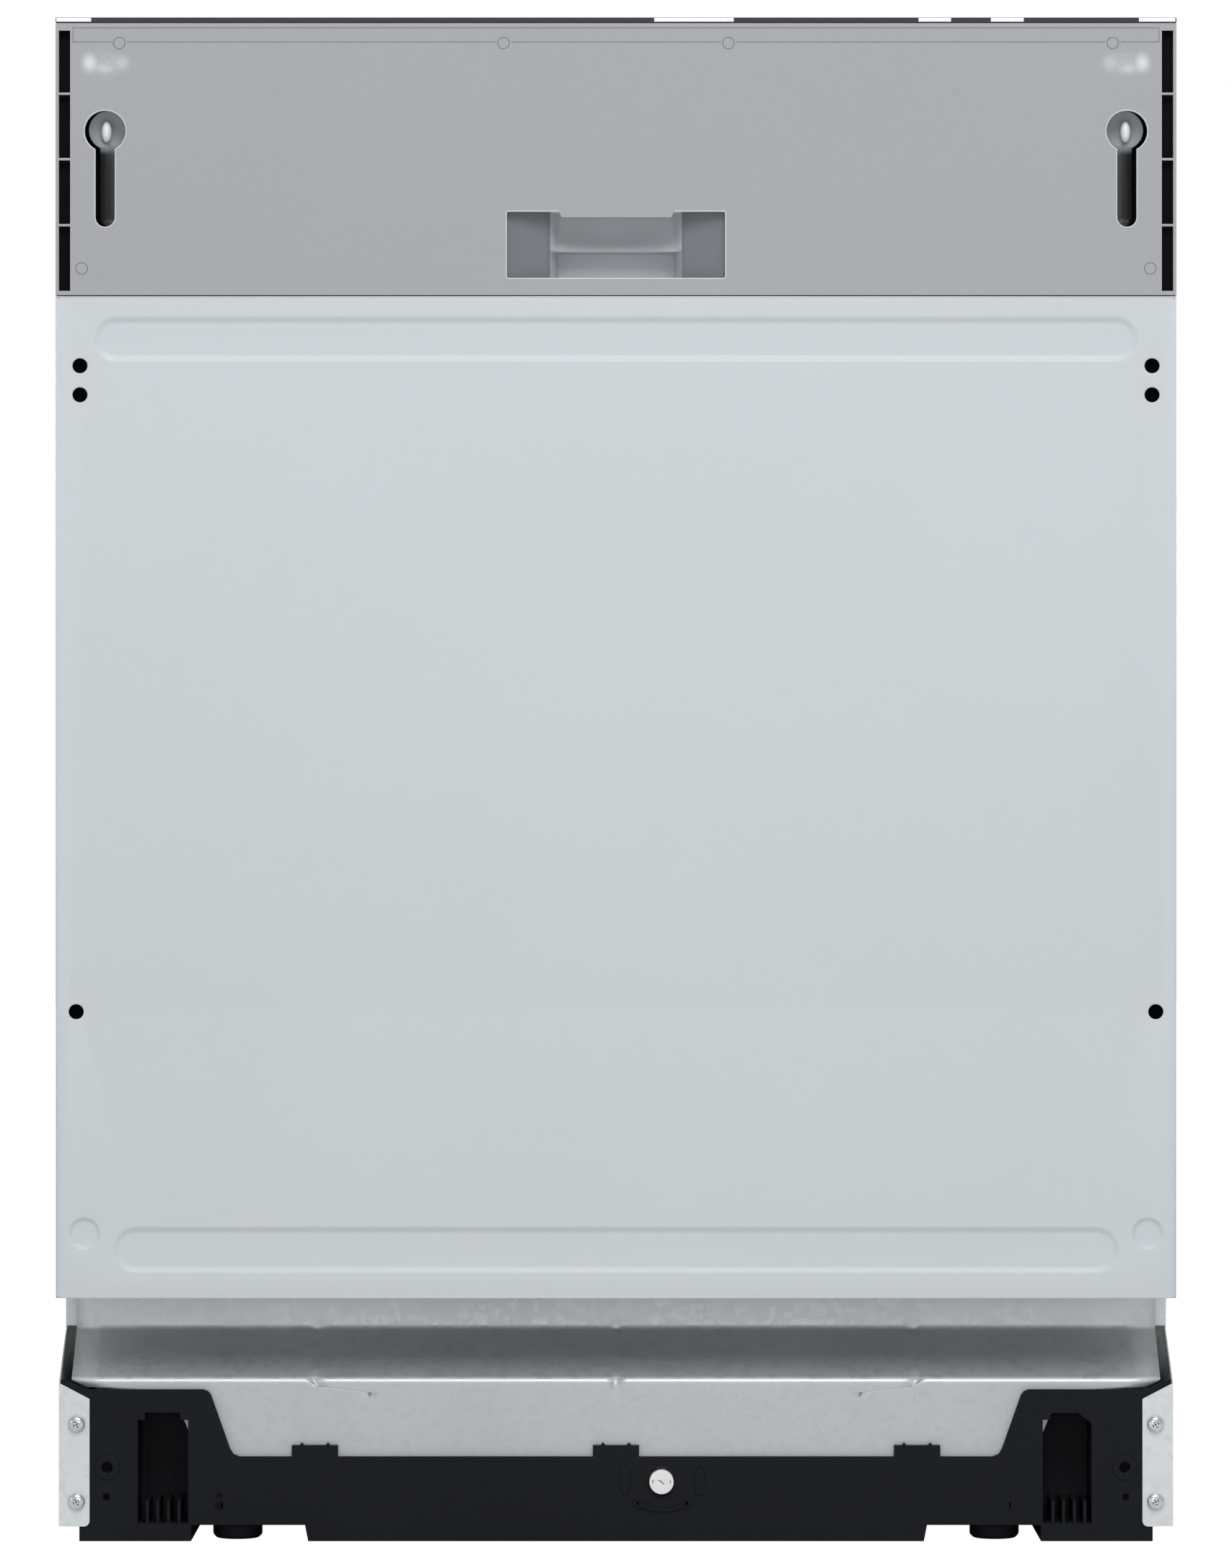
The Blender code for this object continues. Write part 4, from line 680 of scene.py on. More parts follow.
# %% [markdown]
# ## The kick sheet
# Under the door a galvanised sheet is folded twice: a strip behind the door's foot, a slope that
# comes forward, and an upright apron. Small dimples are pressed across both folds to stiffen them.
# The sheet is a grid laid along the folded profile; each fold is a short row of narrow cells, and
# a dimple pushes its cells inward along the line that halves the fold.

# %% The folded profile
kick_low, kick_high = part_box("kick_plate")
STRIP_Y, APRON_Y = -210 * MM, kick_low.y
FOLDS = ((STRIP_Y, 110.6 * MM), (APRON_Y, 86 * MM))
CUT_Z, APRON_FOOT, FULL_HALF, APRON_HALF = 82.5 * MM, kick_low.z, kick_high.x, 222 * MM
slope = Vector((APRON_Y - STRIP_Y, 86 * MM - 110.6 * MM)).normalized()


def folded(corner, before, after, radius, steps=5):
    """Points round a fold, from the straight that arrives to the one that leaves."""
    corner, before, after = Vector(corner), Vector(before), Vector(after)
    return curve(corner - before * radius, corner, corner + after * radius, steps)


down = Vector((0, -1))
profile = [Vector((STRIP_Y, kick_high.z))]
profile += folded(FOLDS[0], down, slope, 3 * MM)
profile += folded(FOLDS[1], slope, down, 1.6 * MM)
profile += [Vector((APRON_Y, CUT_Z)), Vector((APRON_Y, CUT_Z - 6 * MM)),
            Vector((APRON_Y, APRON_FOOT + 3 * MM)), Vector((APRON_Y, APRON_FOOT))]

# %% [markdown]
# The apron's foot is narrower than its top: its ends run up in a slant with round corners, so the
# last rows of the grid are pulled in to a half width that depends on height.

# %% Lay the grid along the profile
DIMPLE_AT, DIMPLE_HALF = (-162 * MM, 0, 161 * MM), 5.5 * MM
DIMPLE_DEPTH, DIMPLE_REACH, PUSH_BACK, PUSH_DOWN = 2.0 * MM, 7 * MM, 0.55, 0.8
END_SLANT, END_TAPER = 0.42, 8 * MM
stations = sorted({round(-1 + i / 20, 4) for i in range(41)})
columns = [t * FULL_HALF for t in stations]
for middle in DIMPLE_AT:
    columns = [x for x in columns if abs(x - middle) > DIMPLE_HALF * 1.6]
    columns += [middle + DIMPLE_HALF * (i / 5) for i in range(-7, 8)]
columns.sort()


def dimple(x, y, z):
    """How far a point near a fold is pushed in."""
    push = 0
    for fold in FOLDS:
        away = math.hypot(y - fold[0], z - fold[1]) / DIMPLE_REACH
        for middle in DIMPLE_AT:
            along = abs(x - middle) / DIMPLE_HALF
            if away < 1 and along < 1:
                push += DIMPLE_DEPTH * (1 - away) * (1 + math.cos(math.pi * along)) / 2
    return push


dense = []
for one, two in zip(profile, profile[1:]):
    parts = max(1, round((two - one).length / (3 * MM))) if (two - one).length < 60 * MM else 1
    dense += [one.lerp(two, i / parts) for i in range(parts)]
dense.append(profile[-1])
kick = bmesh.new()
bmesh.ops.create_grid(kick, x_segments=len(columns) - 1, y_segments=len(dense) - 1, size=0.5)
for vert in kick.verts:
    x = columns[round((vert.co.x + 0.5) * (len(columns) - 1))]
    y, z = dense[len(dense) - 1 - round((vert.co.y + 0.5) * (len(dense) - 1))]
    push = dimple(x, y, z)
    if z < CUT_Z - 1e-6:
        x *= (APRON_HALF + (z - APRON_FOOT) * END_SLANT) / FULL_HALF
    elif z < FOLDS[1][1] - 1e-6:
        x *= (FULL_HALF - END_TAPER * (1 - (z - CUT_Z) / (FOLDS[1][1] - CUT_Z))) / FULL_HALF
    vert.co = (x, y + push * PUSH_BACK, z - push * PUSH_DOWN)
kick_sheet = piece("kick_sheet", kick, zinc_sheet, "cabinet",
                   ["kick_plate"], smooth=60)
thicken(kick_sheet, 0.7 * MM, 1)
print("kick sheet", len(kick_sheet.data.polygons), "faces")

# %% [markdown]
# ## The base, the feet and the levelling screw
# The black base is one moulding, and its working shape already has its ribs, pockets and tabs. It
# gains soft edges and the small raised arrows beside the levelling screw: up and down for the
# direction the machine moves, and a curved one for the turn of the key.

# %% The base and its arrows
refine("base_carrier", base_plastic, 0.5, segments=2)
BASE_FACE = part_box("base_carrier")[0].y
ARROW_Y = (BASE_FACE - 0.35 * MM, BASE_FACE + 0.2 * MM)
arrows = bmesh.new()
for x, sense in ((4.85, -1), (44.75, 1)):
    shape = [(-2.3, -7.6), (2.3, -7.6), (2.3, 3), (3.6, 3), (0, 7.6), (-3.6, 3), (-2.3, 3)]
    shape = [((x + u) * MM, (32.9 + sense * v) * MM) for u, v in shape]
    slab(arrows, shape, *ARROW_Y)
bow = arc((24.8 * MM, 43 * MM), 27 * MM, 238, 302, 14)
bow += list(reversed(arc((24.8 * MM, 43 * MM), 25.2 * MM, 238, 302, 14)))
slab(arrows, bow, *ARROW_Y)
for sign in (-1, 1):
    tip = [(24.8 + sign * u, v) for u, v in ((11.5, 17.2), (13.2, 22.6), (16.8, 20.6))]
    slab(arrows, [(u * MM, v * MM) for u, v in tip], *ARROW_Y)
soften(piece("base_arrows", arrows, base_plastic, "cabinet"),
       0.15 * MM, 2)

# %% [markdown]
# The rear foot is set from the front with a key. The white head in the middle of the base is that
# key's seat: a round cup with a six-sided boss in it, and a shallow slot across the boss, drawn as
# a thin dark strip of painted shade. It is a row of outlines with equal numbers of points, the
# outer ones round and the inner ones six-sided.

# %% The levelling screw's head
AXIS = (24.4 * MM, 32.0 * MM)
HEAD_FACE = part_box("rear_adjuster")[0].y


def around(radius, flats=0):
    """36 points round the head's axis; flats is 0 for a circle and 1 for a hexagon."""
    points = []
    for i in range(36):
        angle = math.radians(10 * i + 22)
        corner = math.radians((10 * i) % 60 - 30)
        reach = radius * (1 - flats + flats * math.cos(math.pi / 6) / math.cos(corner))
        points.append((AXIS[0] + reach * math.cos(angle), AXIS[1] + reach * math.sin(angle)))
    return points


head = bmesh.new()
lofted(head, [(around(radius * MM, flats), HEAD_FACE + y * MM) for radius, flats, y in (
    (6.5, 0, 8), (6.5, 0, 0.6), (6.35, 0, 0.15), (6.1, 0, 0), (5.75, 0, 0.05), (5.55, 0, 0.5),
    (5.4, 0.2, 1.5), (5.2, 1, 1.5), (5.05, 1, 0.35), (4.85, 1, 0.1), (4.4, 1, 0.1),
    (0.05, 1, 0.1))])
# The slot is a thin strip of darker plastic: painted shade.
slot_shade_strip = bmesh.new()
block(slot_shade_strip, (7.6 * MM, 0.2 * MM, 0.75 * MM), Matrix.Translation(
    (AXIS[0], HEAD_FACE + 0.12 * MM, AXIS[1])) @ Matrix.Rotation(math.radians(38), 4, "Y"))
soften(piece("adjuster_slot_shade", slot_shade_strip, part_plastic, "adjuster"), 0.05 * MM, 2)
piece("adjuster_head", head, white_plastic, "adjuster")
refine("rear_adjuster", white_plastic, 0.3)

# %% Screws with a cross recess in their domed heads
def screw_head(mesh, centre, radius, y, rise):
    lofted(mesh, [(circle(centre, radius * r, 32), y - rise * h) for r, h in (
        (1, 0), (1, 0.15), (0.93, 0.5), (0.8, 0.78), (0.62, 0.94), (0.4, 1), (0.36, 0.92),
        (0.3, 0.35), (0.02, 0.2))])


HEAD_RISE = 2.2 * MM
for side in ("left", "right"):
    for height in ("upper", "lower"):
        node = "flange_screw_" + side + "_" + height
        low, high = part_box(node)
        centre = ((low.x + high.x) / 2, (low.z + high.z) / 2)
        radius = (high.x - low.x) / 2
        screw = bmesh.new()
        screw_head(screw, centre, radius, low.y + HEAD_RISE, HEAD_RISE)
        for turn in (20, 110):
            block(screw, (0.9 * MM, 0.9 * MM, radius * 0.95), Matrix.Translation(
                (centre[0], low.y + 0.75 * MM, centre[1]))
                @ Matrix.Rotation(math.radians(turn), 4, "Y"))
        piece(node + "_finished", screw, zinc_screw, "cabinet", [node])
print("base and screws ready")

# %% [markdown]
# ## The key strip
# The controls sit on the door's top edge, where they are hidden once the machine is built in. From
# the front only a thin dark line shows, with the ends of four keys and a lamp window in it.

# %% Strip, keys and lamp window
refine("control_strip", gloss_black, 0.3)
for node in ("power_button", "program_button", "option_button", "start_button"):
    refine(node, key_mark if node != "option_button" else pale_plastic_and_rim_highlight, 0.35)
glints = bmesh.new()
for start, end in ((-298.6, -280.0), (20.4, 62.8), (161.4, 178.7), (200, 217.5), (279, 298.4)):
    dash(glints, (start * MM, strip_low.z + 0.5 * MM), (end * MM, strip_high.z - 0.25 * MM),
         strip_low.y, 0.12 * MM)
piece("key_ends", glints, key_mark, "door")

# %% Printed signs beside the keys: plain dots and bars
signs = bmesh.new()
for x in (-288, 170, 208.5, 288):
    bmesh.ops.create_circle(signs, cap_ends=True, segments=24, radius=1.1 * MM,
                            matrix=Matrix.Translation((x * MM, -236 * MM, TOP + 0.05 * MM)))
    bmesh.ops.create_grid(signs, x_segments=4, y_segments=1, size=1,
                          matrix=Matrix.Translation((x * MM, -228 * MM, TOP + 0.05 * MM))
                          @ Matrix.Diagonal((3.5 * MM, 0.6 * MM, 1, 1)))
piece("key_signs", signs, key_mark, "door")

# %% [markdown]
# ## The cabinet
# Side panels, brace, back and brackets are folded steel. Their working shapes are right, so they
# get their folds' small radii and the crystals of their zinc. The tub is stainless, and its
# corners are drawn, so its bends are rounder.

# %% Sheet metal of the cabinet
for node in ("side_panel_left", "side_panel_right", "top_brace", "back_panel",
             "hinge_bracket_left", "hinge_bracket_right", "hinge_arm_left", "hinge_arm_right"):
    refine(node, zinc_sheet, 0.25, segments=2)
refine("tub", tub_steel, 5.0, segments=4, angle=18)
for node in ("upper_rail_left", "upper_rail_right", "filter_plate", "door_inner_panel"):
    refine(node, tub_steel, 0.5, segments=3)
refine("top_insulation", felt, 3.0, segments=4)
for node in ("tub_gasket", "door_bottom_seal"):
    refine(node, seal_rubber, 0.3, segments=2)

# %% Pumps, tanks and fittings
for node, material, width in (
        ("sump", dark_plastic, 1.5), ("circulation_pump", base_plastic, 2.5),
        ("drain_pump", white_plastic, 2.0), ("water_softener", white_plastic, 3.0),
        ("salt_cap", white_plastic, 1.2), ("inlet_valve", white_plastic, 1.2),
        ("drain_outlet", base_plastic, 1.0), ("mains_inlet", base_plastic, 1.0),
        ("filter_cup", part_plastic, 0.6), ("control_board", board_green, 0.3),
        ("door_latch", dark_plastic, 0.8), ("dispenser_body", part_plastic, 1.2),
        ("dispenser_lid", part_plastic, 1.0), ("rinse_aid_cap", dark_plastic, 0.8),
        ("lower_spray_arm", dark_plastic, 1.6), ("upper_spray_arm", dark_plastic, 1.6),
        ("rear_foot", base_plastic, 0.5), ("rear_foot_gear", white_plastic, 0.2),
        ("front_foot_left", base_plastic, 1.2), ("front_foot_right", base_plastic, 1.2)):
    refine(node, material, width)
for node in ("door_spring_left", "door_spring_right"):
    refine(node, zinc_screw, 0.1, segments=1)

# %% [markdown]
# ## Racks and basket
# The racks are baskets of round wire with a nylon coat. A wire is a tube swept along its points,
# with a few flat sides that shade as round. Each rack has a heavy wire at its rim and a thinner
# one below it, hoops that run down one side, across and up the other, long wires that cross them,
# and rows of tines for the plates.

# %% Helper: a bent wire
def wire(mesh, points, radius, sides=8):
    """A tube along the points, closed at both ends."""
    points = [Vector(p) for p in points]
    last, guide = None, None
    for i, point in enumerate(points):
        ahead = (points[min(i + 1, len(points) - 1)] - points[max(i - 1, 0)]).normalized()
        if guide is None:
            guide = ahead.orthogonal().normalized()
        guide = (guide - ahead * guide.dot(ahead)).normalized()
        across = ahead.cross(guide)
        made = [mesh.verts.new(point + (guide * math.cos(a) + across * math.sin(a)) * radius)
                for a in (2 * math.pi * k / sides for k in range(sides))]
        loop = [mesh.edges.new((made[k - 1], made[k])) for k in range(sides)]
        if last:
            bmesh.ops.bridge_loops(mesh, edges=last + loop)
        else:
            mesh.faces.new(made)
        last = loop
    mesh.faces.new(made)


def bent(points, radius, steps=4):
    """The points with each inner corner rounded."""
    points = [Vector(p) for p in points]
    out = [points[0]]
    for before, corner, after in zip(points, points[1:], points[2:]):
        start = corner + (before - corner).normalized() * radius
        end = corner + (after - corner).normalized() * radius
        out += curve(start, corner, end, steps)
    return out + [points[-1]]


# %% The racks
def rack(node, foot, tine_columns, tine_height, first_tine):
    """A wire basket with its floor at foot, and columns of tines from one hoop onwards."""
    low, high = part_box(node)
    front, back, rim = low.y, high.y, high.z
    r = 1.5 * MM
    half = high.x - r
    mesh = bmesh.new()
    for z, thick in ((rim - 2.2 * MM, 2.2 * MM), (rim - 48 * MM, r)):
        edge = [(-half, front + 3 * MM, z), (half, front + 3 * MM, z), (half, back - 3 * MM, z),
                (-half, back - 3 * MM, z)]
        loop = bent(edge[-1:] + edge + edge[:1], 16 * MM)[1:-1]
        wire(mesh, loop + loop[:1], thick)
    spots = [front + 12 * MM + (back - front - 24 * MM) * i / 13 for i in range(14)]
    for y in spots:
        wire(mesh, bent([(-half + r, y, rim - 3 * MM), (-half + r, y, foot + r),
                         (half - r, y, foot + r), (half - r, y, rim - 3 * MM)], 14 * MM), r)
    for i in range(11):
        x = (half - 22 * MM) * (i / 5 - 1)
        wire(mesh, bent([(x, front + 3 * MM, rim - 3 * MM), (x, front + 3 * MM, foot + 3 * r),
                         (x, back - 3 * MM, foot + 3 * r), (x, back - 3 * MM, rim - 3 * MM)],
                        12 * MM), r)
    for x in tine_columns:
        for y in spots[first_tine:-1]:
            wire(mesh, [(x, y, foot + r), (x, y, foot + tine_height * 0.9),
                        (x + 1.5 * MM, y, foot + tine_height)], r * 0.9, 6)
    return mesh


WHEELS = [("rack_wheel_%s_%s" % (side, end), sign)
          for side, sign in (("left", -1), ("right", 1)) for end in ("front", "rear")]
LEG_X, AXLE_END = 204.5 * MM, 221.5 * MM
lower = rack("lower_rack", 205 * MM, (-150 * MM, -75 * MM, 75 * MM, 150 * MM), 62 * MM, 5)
wheel_low, wheel_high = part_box("rack_wheel_left_front")
axle_z = (wheel_low.z + wheel_high.z) / 2
for node, sign in WHEELS:
    low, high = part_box(node)
    x, y = sign * LEG_X, (low.y + high.y) / 2
    for dy in (-5 * MM, 5 * MM):
        wire(lower, bent([(x, y + dy * 3, 208 * MM), (x, y + dy, 196 * MM),
                          (x, y + dy * 0.4, axle_z)], 5 * MM), 1.8 * MM)
    wire(lower, [(x, y, axle_z), (sign * AXLE_END, y, axle_z)], 2.9 * MM, 12)
lower_basket = piece("lower_rack_wires", lower, rack_nylon, "lower_rack",
                     ["lower_rack"], smooth=50)
upper = rack("upper_rack", 505 * MM, (-120 * MM, -60 * MM, 60 * MM, 120 * MM), 45 * MM, 2)

# the water pipe under the upper rack, with the collar and the stub that its spray arm hangs from
ARM_Y = 18 * MM
wire(upper, bent([(0, 216 * MM, 498 * MM), (0, 30 * MM, 498 * MM), (0, ARM_Y, 490 * MM),
                  (0, ARM_Y, 474 * MM)], 8 * MM), 6 * MM, 16)
wire(upper, [(0, ARM_Y, 490 * MM), (0, ARM_Y, 482 * MM)], 10 * MM, 20)
wire(upper, [(0, ARM_Y, 480 * MM), (0, ARM_Y, 466 * MM)], 4.8 * MM, 16)
upper_basket = piece("upper_rack_wires", upper, rack_nylon, "upper_rack",
                     ["upper_rack"], smooth=50)
print("racks", len(lower_basket.data.polygons), len(upper_basket.data.polygons))

# %% [markdown]
# The wheels are moulded with a rim, a hub, a thin web between them and six spokes that stand on
# the web. The first three are turned from closed profiles about the wheel's own axis.

# %% Rack wheels
def turned_x(mesh, profile, centre, steps=36):
    """A closed (along, radius) loop, spun about an axis that runs across the machine."""
    verts = [mesh.verts.new((centre[0] + u, centre[1], centre[2] + r)) for u, r in profile]
    edges = [mesh.edges.new((verts[i - 1], verts[i])) for i in range(len(verts))]
    bmesh.ops.spin(mesh, geom=verts + edges, cent=centre, axis=(1, 0, 0), angle=2 * math.pi,
                   steps=steps, use_merge=True)


BORE = 3.3 * MM
for node, _ in WHEELS:
    low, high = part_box(node)
    middle = (low + high) / 2
    radius, half = (high.z - low.z) / 2, (high.x - low.x) / 2
    wheel = bmesh.new()
    turned_x(wheel, [(-half, radius - 3 * MM), (-half, radius - 0.8 * MM),
                     (-half + 1 * MM, radius), (half - 1 * MM, radius),
                     (half, radius - 0.8 * MM), (half, radius - 3 * MM)], middle)
    turned_x(wheel, [(-half * 0.3, BORE), (-half * 0.3, radius - 2.9 * MM),
                     (half * 0.3, radius - 2.9 * MM), (half * 0.3, BORE)], middle)
    turned_x(wheel, [(-half, BORE), (-half, 6 * MM), (half, 6 * MM), (half, BORE)],
             middle)
    for k in range(6):
        block(wheel, (half * 1.7, 1.6 * MM, radius - 8 * MM), Matrix.Translation(middle)
              @ Matrix.Rotation(math.radians(60 * k), 4, "X")
              @ Matrix.Translation((0, 0, radius / 2 + 1.2 * MM)))
    piece(node + "_finished", wheel, dark_plastic, bodies[node], [node])
print("wheels ready")

# %% [markdown]
# The cutlery basket is a moulded box with open slits. Each wall is a lattice: a grid of which only
# the bars are kept, given its thickness afterwards.

# %% Cutlery basket
basket_low, basket_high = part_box("cutlery_basket")
TOP_EDGE = 322 * MM
basket = bmesh.new()
x0, x1, y0, y1, z0 = basket_low.x, basket_high.x, basket_low.y, basket_high.y, basket_low.z


def lattice(origin, along, up, length, height, slits, rows):
    """A wall with a framed grid of upright slits."""
    us, bar = [0], 2.6 * MM
    pitch = (length - bar) / slits
    for i in range(slits):
        us += [i * pitch + bar, (i + 1) * pitch]
    us.append(length)
    vs, step = [0], (height - bar) / rows
    for i in range(rows):
        vs += [i * step + bar, (i + 1) * step]
    vs.append(height)
    made = bmesh.ops.create_grid(basket, x_segments=len(us) - 1, y_segments=len(vs) - 1,
                                 size=0.5)["verts"]
    faces = {face for vert in made for face in vert.link_faces}
    gone = [face for face in faces
            if math.floor((face.calc_center_median().x + 0.5) * (len(us) - 1)) % 2 == 1
            and math.floor((face.calc_center_median().y + 0.5) * (len(vs) - 1)) % 2 == 1]
    for vert in made:
        u = us[round((vert.co.x + 0.5) * (len(us) - 1))]
        v = vs[round((vert.co.y + 0.5) * (len(vs) - 1))]
        vert.co = Vector(origin) + Vector(along) * u + Vector(up) * v
    bmesh.ops.delete(basket, geom=gone, context="FACES")


tall = TOP_EDGE - z0
for y in (y0, y1):
    lattice((x0, y, z0), (1, 0, 0), (0, 0, 1), x1 - x0, tall, 24, 4)
for x in (x0, -35 * MM, 35 * MM, x1):
    lattice((x, y0, z0), (0, 1, 0), (0, 0, 1), y1 - y0, tall, 9, 4)
lattice((x0, y0, z0), (1, 0, 0), (0, 1, 0), x1 - x0, y1 - y0, 20, 8)
bmesh.ops.remove_doubles(basket, verts=basket.verts, dist=1e-5)
cutlery = piece("cutlery_basket_walls", basket, dark_plastic, "cutlery_basket",
                ["cutlery_basket"])
thicken(cutlery, 1.6 * MM, 0)
grasp = bmesh.new()
wire(grasp, bent([(-60 * MM, (y0 + y1) / 2, TOP_EDGE - 30 * MM),
                  (-40 * MM, (y0 + y1) / 2, basket_high.z - 3.5 * MM),
                  (40 * MM, (y0 + y1) / 2, basket_high.z - 3.5 * MM),
                  (60 * MM, (y0 + y1) / 2, TOP_EDGE - 30 * MM)], 14 * MM, 6), 3.4 * MM, 12)
piece("cutlery_basket_handle", grasp, dark_plastic, "cutlery_basket")
print("basket", len(cutlery.data.polygons), "faces")

# %% [markdown]
# ## The back and the sides
# The back sheet would drum, so three pairs of long beads are pressed outward in it, and it is held
# by small round-headed screws. The sides are spot-welded to the frame: each weld shows as a faint
# round mark, near the front edge and near the back.

# %% Beads and screws of the back, weld marks of the sides
BACK_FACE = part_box("back_panel")[1].y
beads = bmesh.new()
for x in (-170 * MM, 0, 170 * MM):
    for z0, z1 in ((150 * MM, 430 * MM), (470 * MM, 750 * MM)):
        pressed(beads, rib_outline(x - 13 * MM, x + 13 * MM, z0, z1, 5 * MM, 12.5 * MM, 8),
                BACK_FACE - 0.1 * MM, 1.2 * MM)
back_beads = piece("back_beads", beads, zinc_sheet, "cabinet")
back_beads.data.shade_smooth()

fixings = bmesh.new()
for x in (-280 * MM, -140 * MM, 0, 140 * MM, 280 * MM):
    for z in (112 * MM, 796 * MM):
        screw_head(fixings, (x, z), 4.0 * MM, -BACK_FACE, 1.3 * MM)
bmesh.ops.rotate(fixings, verts=fixings.verts, cent=(0, 0, 0),
                 matrix=Matrix.Rotation(math.pi, 3, "Z"))
piece("back_screws", fixings, zinc_screw, "cabinet")

side_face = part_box("side_panel_right")[1].x
WELD = ((3.4, 0.02), (3.2, -0.1), (2.5, -0.1), (2.2, -0.04), (0.02, -0.04))
welds = bmesh.new()
for side in (-1, 1):
    for y in (-180 * MM, 235 * MM):
        for i in range(9):
            centre = (side * y, (180 + 70 * i) * MM)
            lofted(welds, [(circle(centre, r * MM, 24), h * MM) for r, h in WELD])
    turn = Matrix.Translation((side * side_face, 0, 0)) @ Matrix.Rotation(
        side * math.pi / 2, 4, "Z")
    fresh = [vert for vert in welds.verts if abs(vert.co.y) < 1 * MM]
    bmesh.ops.transform(welds, verts=fresh, matrix=turn)
piece("weld_marks", welds, zinc_sheet, "cabinet")
print("back and sides ready")

# %% [markdown]
# ## Colours and painted light that depend on the place
# Near its top corners the fascia's plastic has turned pale where the screw bosses behind it were
# pushed, and the sheen of these moulding marks is painted into the colour too. The pale spots are
# soft ovals, the same on both sides, worked out from the coordinates.
# The kick sheet gets painted shade on its slope and apron, under the door's overhang, and none on
# its strip; the lower fold's bend is left without it, which gives a painted highlight along the
# bend.

# %% Helper: paint over a finish
def opened(material):
    """The tree, a node with the place's coordinates, and the socket with the colour so far."""
    tree = material.node_tree
    colour = tree.nodes["Principled BSDF"].inputs["Base Color"].links[0].from_socket
    return tree, add(tree, "ShaderNodeTexCoord"), colour


def painted(tree, below, factor, colour):
    """The socket of the colour laid over the one below, as far as the factor says."""
    mix = add(tree, "ShaderNodeMix", data_type="RGBA")
    mix.inputs[7].default_value = (*colour, 1)
    tree.links.new(factor, mix.inputs["Factor"])
    tree.links.new(below, mix.inputs[6])
    tree.links.new(mix.outputs[2], tree.nodes["Principled BSDF"].inputs["Base Color"])
    return mix.outputs[2]


# %% Pale spots on the fascia: moulding marks with their sheen painted in
SHEEN_SPOTS = ((281, 790.9, 5.6, 7.5, 0.5), (273, 787.6, 7.0, 3.8, 0.22),
         (263.2, 790.8, 5.6, 6.0, 0.2), (272, 790, 17, 9, 0.14))
tree, place, colour = opened(fascia_plastic_with_sheen)
mirrored = add(tree, "ShaderNodeVectorMath", operation="ABSOLUTE")
link(tree, (place, "Object", mirrored, 0))
sheen_total = None
for x, z, wide, tall, amount in SHEEN_SPOTS:
    offset = add(tree, "ShaderNodeVectorMath", operation="SUBTRACT")
    offset.inputs[1].default_value = (x * MM, abs(FACE), z * MM)
    squash = add(tree, "ShaderNodeVectorMath", operation="DIVIDE")
    squash.inputs[1].default_value = (wide * MM, 1, tall * MM)
    away = add(tree, "ShaderNodeVectorMath", operation="LENGTH")
    fade = span(tree, 1.0, 0.0, 0.0, amount, smooth=True)
    join = add(tree, "ShaderNodeMath", operation="ADD", use_clamp=True)
    join.inputs[0].default_value = 0
    link(tree, (mirrored, "Vector", offset, 0), (offset, "Vector", squash, 0),
         (squash, "Vector", away, 0), (away, "Value", fade, "Value"), (fade, "Result", join, 1))
    if sheen_total:
        tree.links.new(sheen_total, join.inputs[0])
    sheen_total = join.outputs["Value"]
painted(tree, colour, sheen_total, (0.86, 0.87, 0.89))

# %% Painted light in the bowl and painted shade in the channel of the hanger seats
tree, place, colour = opened(seat_plastic_lit_and_shaded)
axes = add(tree, "ShaderNodeSeparateXYZ")
mirrored = add(tree, "ShaderNodeMath", operation="ABSOLUTE")
outward = span(tree, 267 * MM, 275 * MM, smooth=True)
in_bowl = span(tree, 742 * MM, 747 * MM, smooth=True)
link(tree, (place, "Object", axes, "Vector"), (axes, "X", mirrored, 0),
     (mirrored, "Value", outward, "Value"), (axes, "Z", in_bowl, "Value"))
colour = painted(tree, colour, outward.outputs["Result"], (0.008, 0.009, 0.010))
painted(tree, colour, in_bowl.outputs["Result"], (0.30, 0.315, 0.335))

# %% Painted shade on the kick sheet's apron and slope, a painted highlight along the lower fold, none on the strip
kick_zinc_shaded = zinc_sheet.copy()
kick_zinc_shaded.name = "kick_zinc_shaded"
kick_sheet.data.materials[0] = kick_zinc_shaded
tree, place, colour = opened(kick_zinc_shaded)
axes = add(tree, "ShaderNodeSeparateXYZ")
height = span(tree, 80 * MM, 120 * MM)
coat_and_painted_shade = add(tree, "ShaderNodeValToRGB")
stops = coat_and_painted_shade.color_ramp.elements
for position, value in ((0.12, 0.28), (0.14, 0), (0.18, 0), (0.2, 0.36), (0.5, 0.38),
                        (0.76, 0.36), (0.8, 0)):
    stop = stops[0] if position == 0.12 else stops[-1] if position == 0.8 else stops.new(position)
    stop.position, stop.color = position, (value, value, value, 1)
link(tree, (place, "Object", axes, "Vector"), (axes, "Z", height, "Value"),
     (height, "Result", coat_and_painted_shade, "Fac"))
painted(tree, colour, coat_and_painted_shade.outputs["Color"], (0.022, 0.026, 0.032))

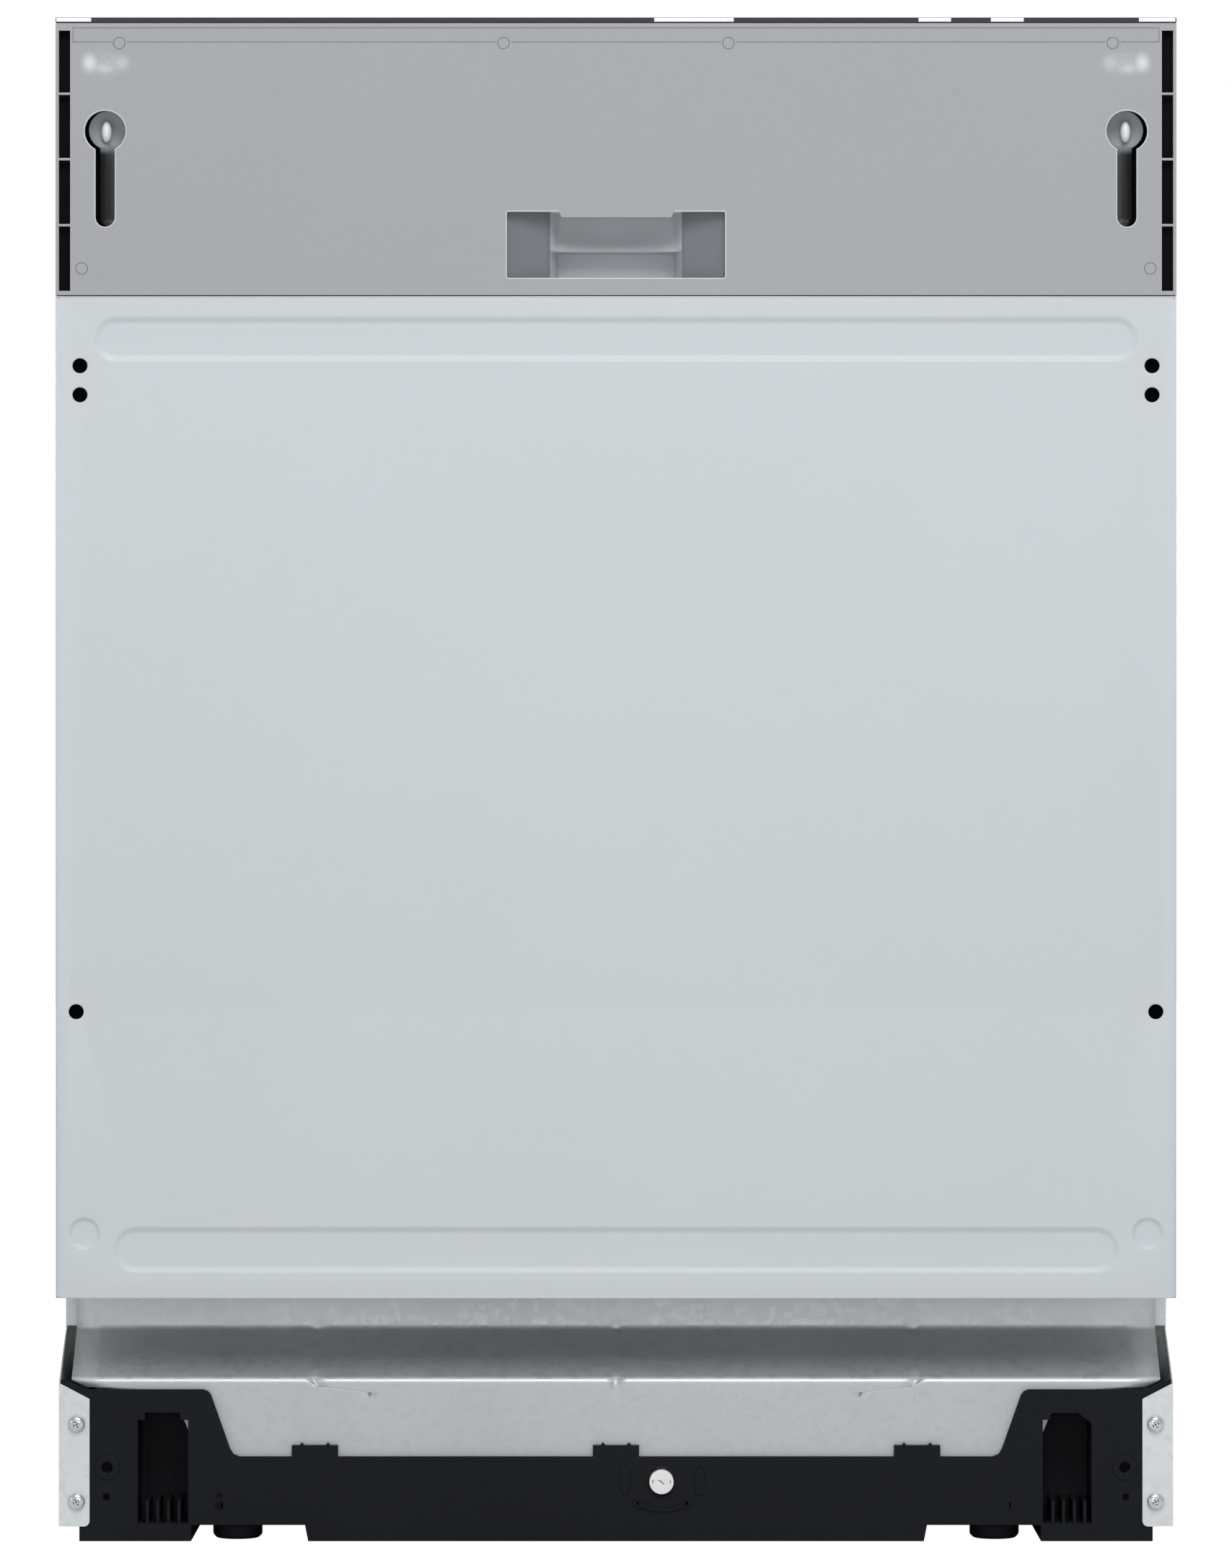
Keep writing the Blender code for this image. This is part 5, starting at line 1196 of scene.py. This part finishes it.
# %% [markdown]
# ## The studio
# A pale floor and a white surround give even light, and one large soft lamp above and in front
# adds the slight direction that lets pressed and moulded shapes read.

# %% Floor, surround and lamps
floor_mesh = bmesh.new()
bmesh.ops.create_grid(floor_mesh, x_segments=2, y_segments=2, size=9)
floor_data = bpy.data.meshes.new("floor")
floor_mesh.to_mesh(floor_data)
floor_mesh.free()
floor = bpy.data.objects.new("floor", floor_data)
floor.location.z = -0.5 * MM
bpy.context.scene.collection.objects.link(floor)
pale_floor = finish("pale_floor", (0.8, 0.8, 0.8), 0.8, Scale=20.0, Height=0.02, fine=0.005,
                    specular=0.1)
floor_shader = pale_floor.node_tree.nodes["Principled BSDF"]
floor_shader.inputs["Emission Color"].default_value = (1, 1, 1, 1)
seen = add(pale_floor.node_tree, "ShaderNodeLightPath")
pale_floor.node_tree.links.new(seen.outputs["Is Camera Ray"],
                               floor_shader.inputs["Emission Strength"])
floor_data.materials.append(pale_floor)

LIT_BY_SKY = 0.55
studio = bpy.data.worlds.new("studio")
studio.use_nodes = True
bpy.context.scene.world = studio
sky = studio.node_tree
path = add(sky, "ShaderNodeLightPath")
level = span(sky, 0.0, 1.0, LIT_BY_SKY, 1.0)
surround = sky.nodes["Background"]
surround.inputs["Color"].default_value = (1, 1, 1, 1)
link(sky, (path, "Is Camera Ray", level, "Value"), (level, "Result", surround, "Strength"))


def lamp(name, place, target, size, power):
    data = bpy.data.lights.new(name, "AREA")
    data.shape, data.size, data.energy = "DISK", size, power
    obj = bpy.data.objects.new(name, data)
    bpy.context.scene.collection.objects.link(obj)
    obj.location = place
    obj.rotation_euler = (Vector(target) - Vector(place)).to_track_quat("-Z", "Y").to_euler()
    return obj


lamp("key_lamp", (0.3, -2.6, 2.9), (0, 0, 0.4), 1.8, 60)
lamp("low_lamp", (0, -3.4, 0.35), (0, 0, 0.15), 1.2, 7)
lamp("side_lamp", (-2.6, -2.2, 0.9), (0, 0, 0.4), 0.9, 4)
lamp("back_lamp", (1.2, 3.0, 2.2), (0, 0, 0.4), 1.6, 25)
print("studio ready")
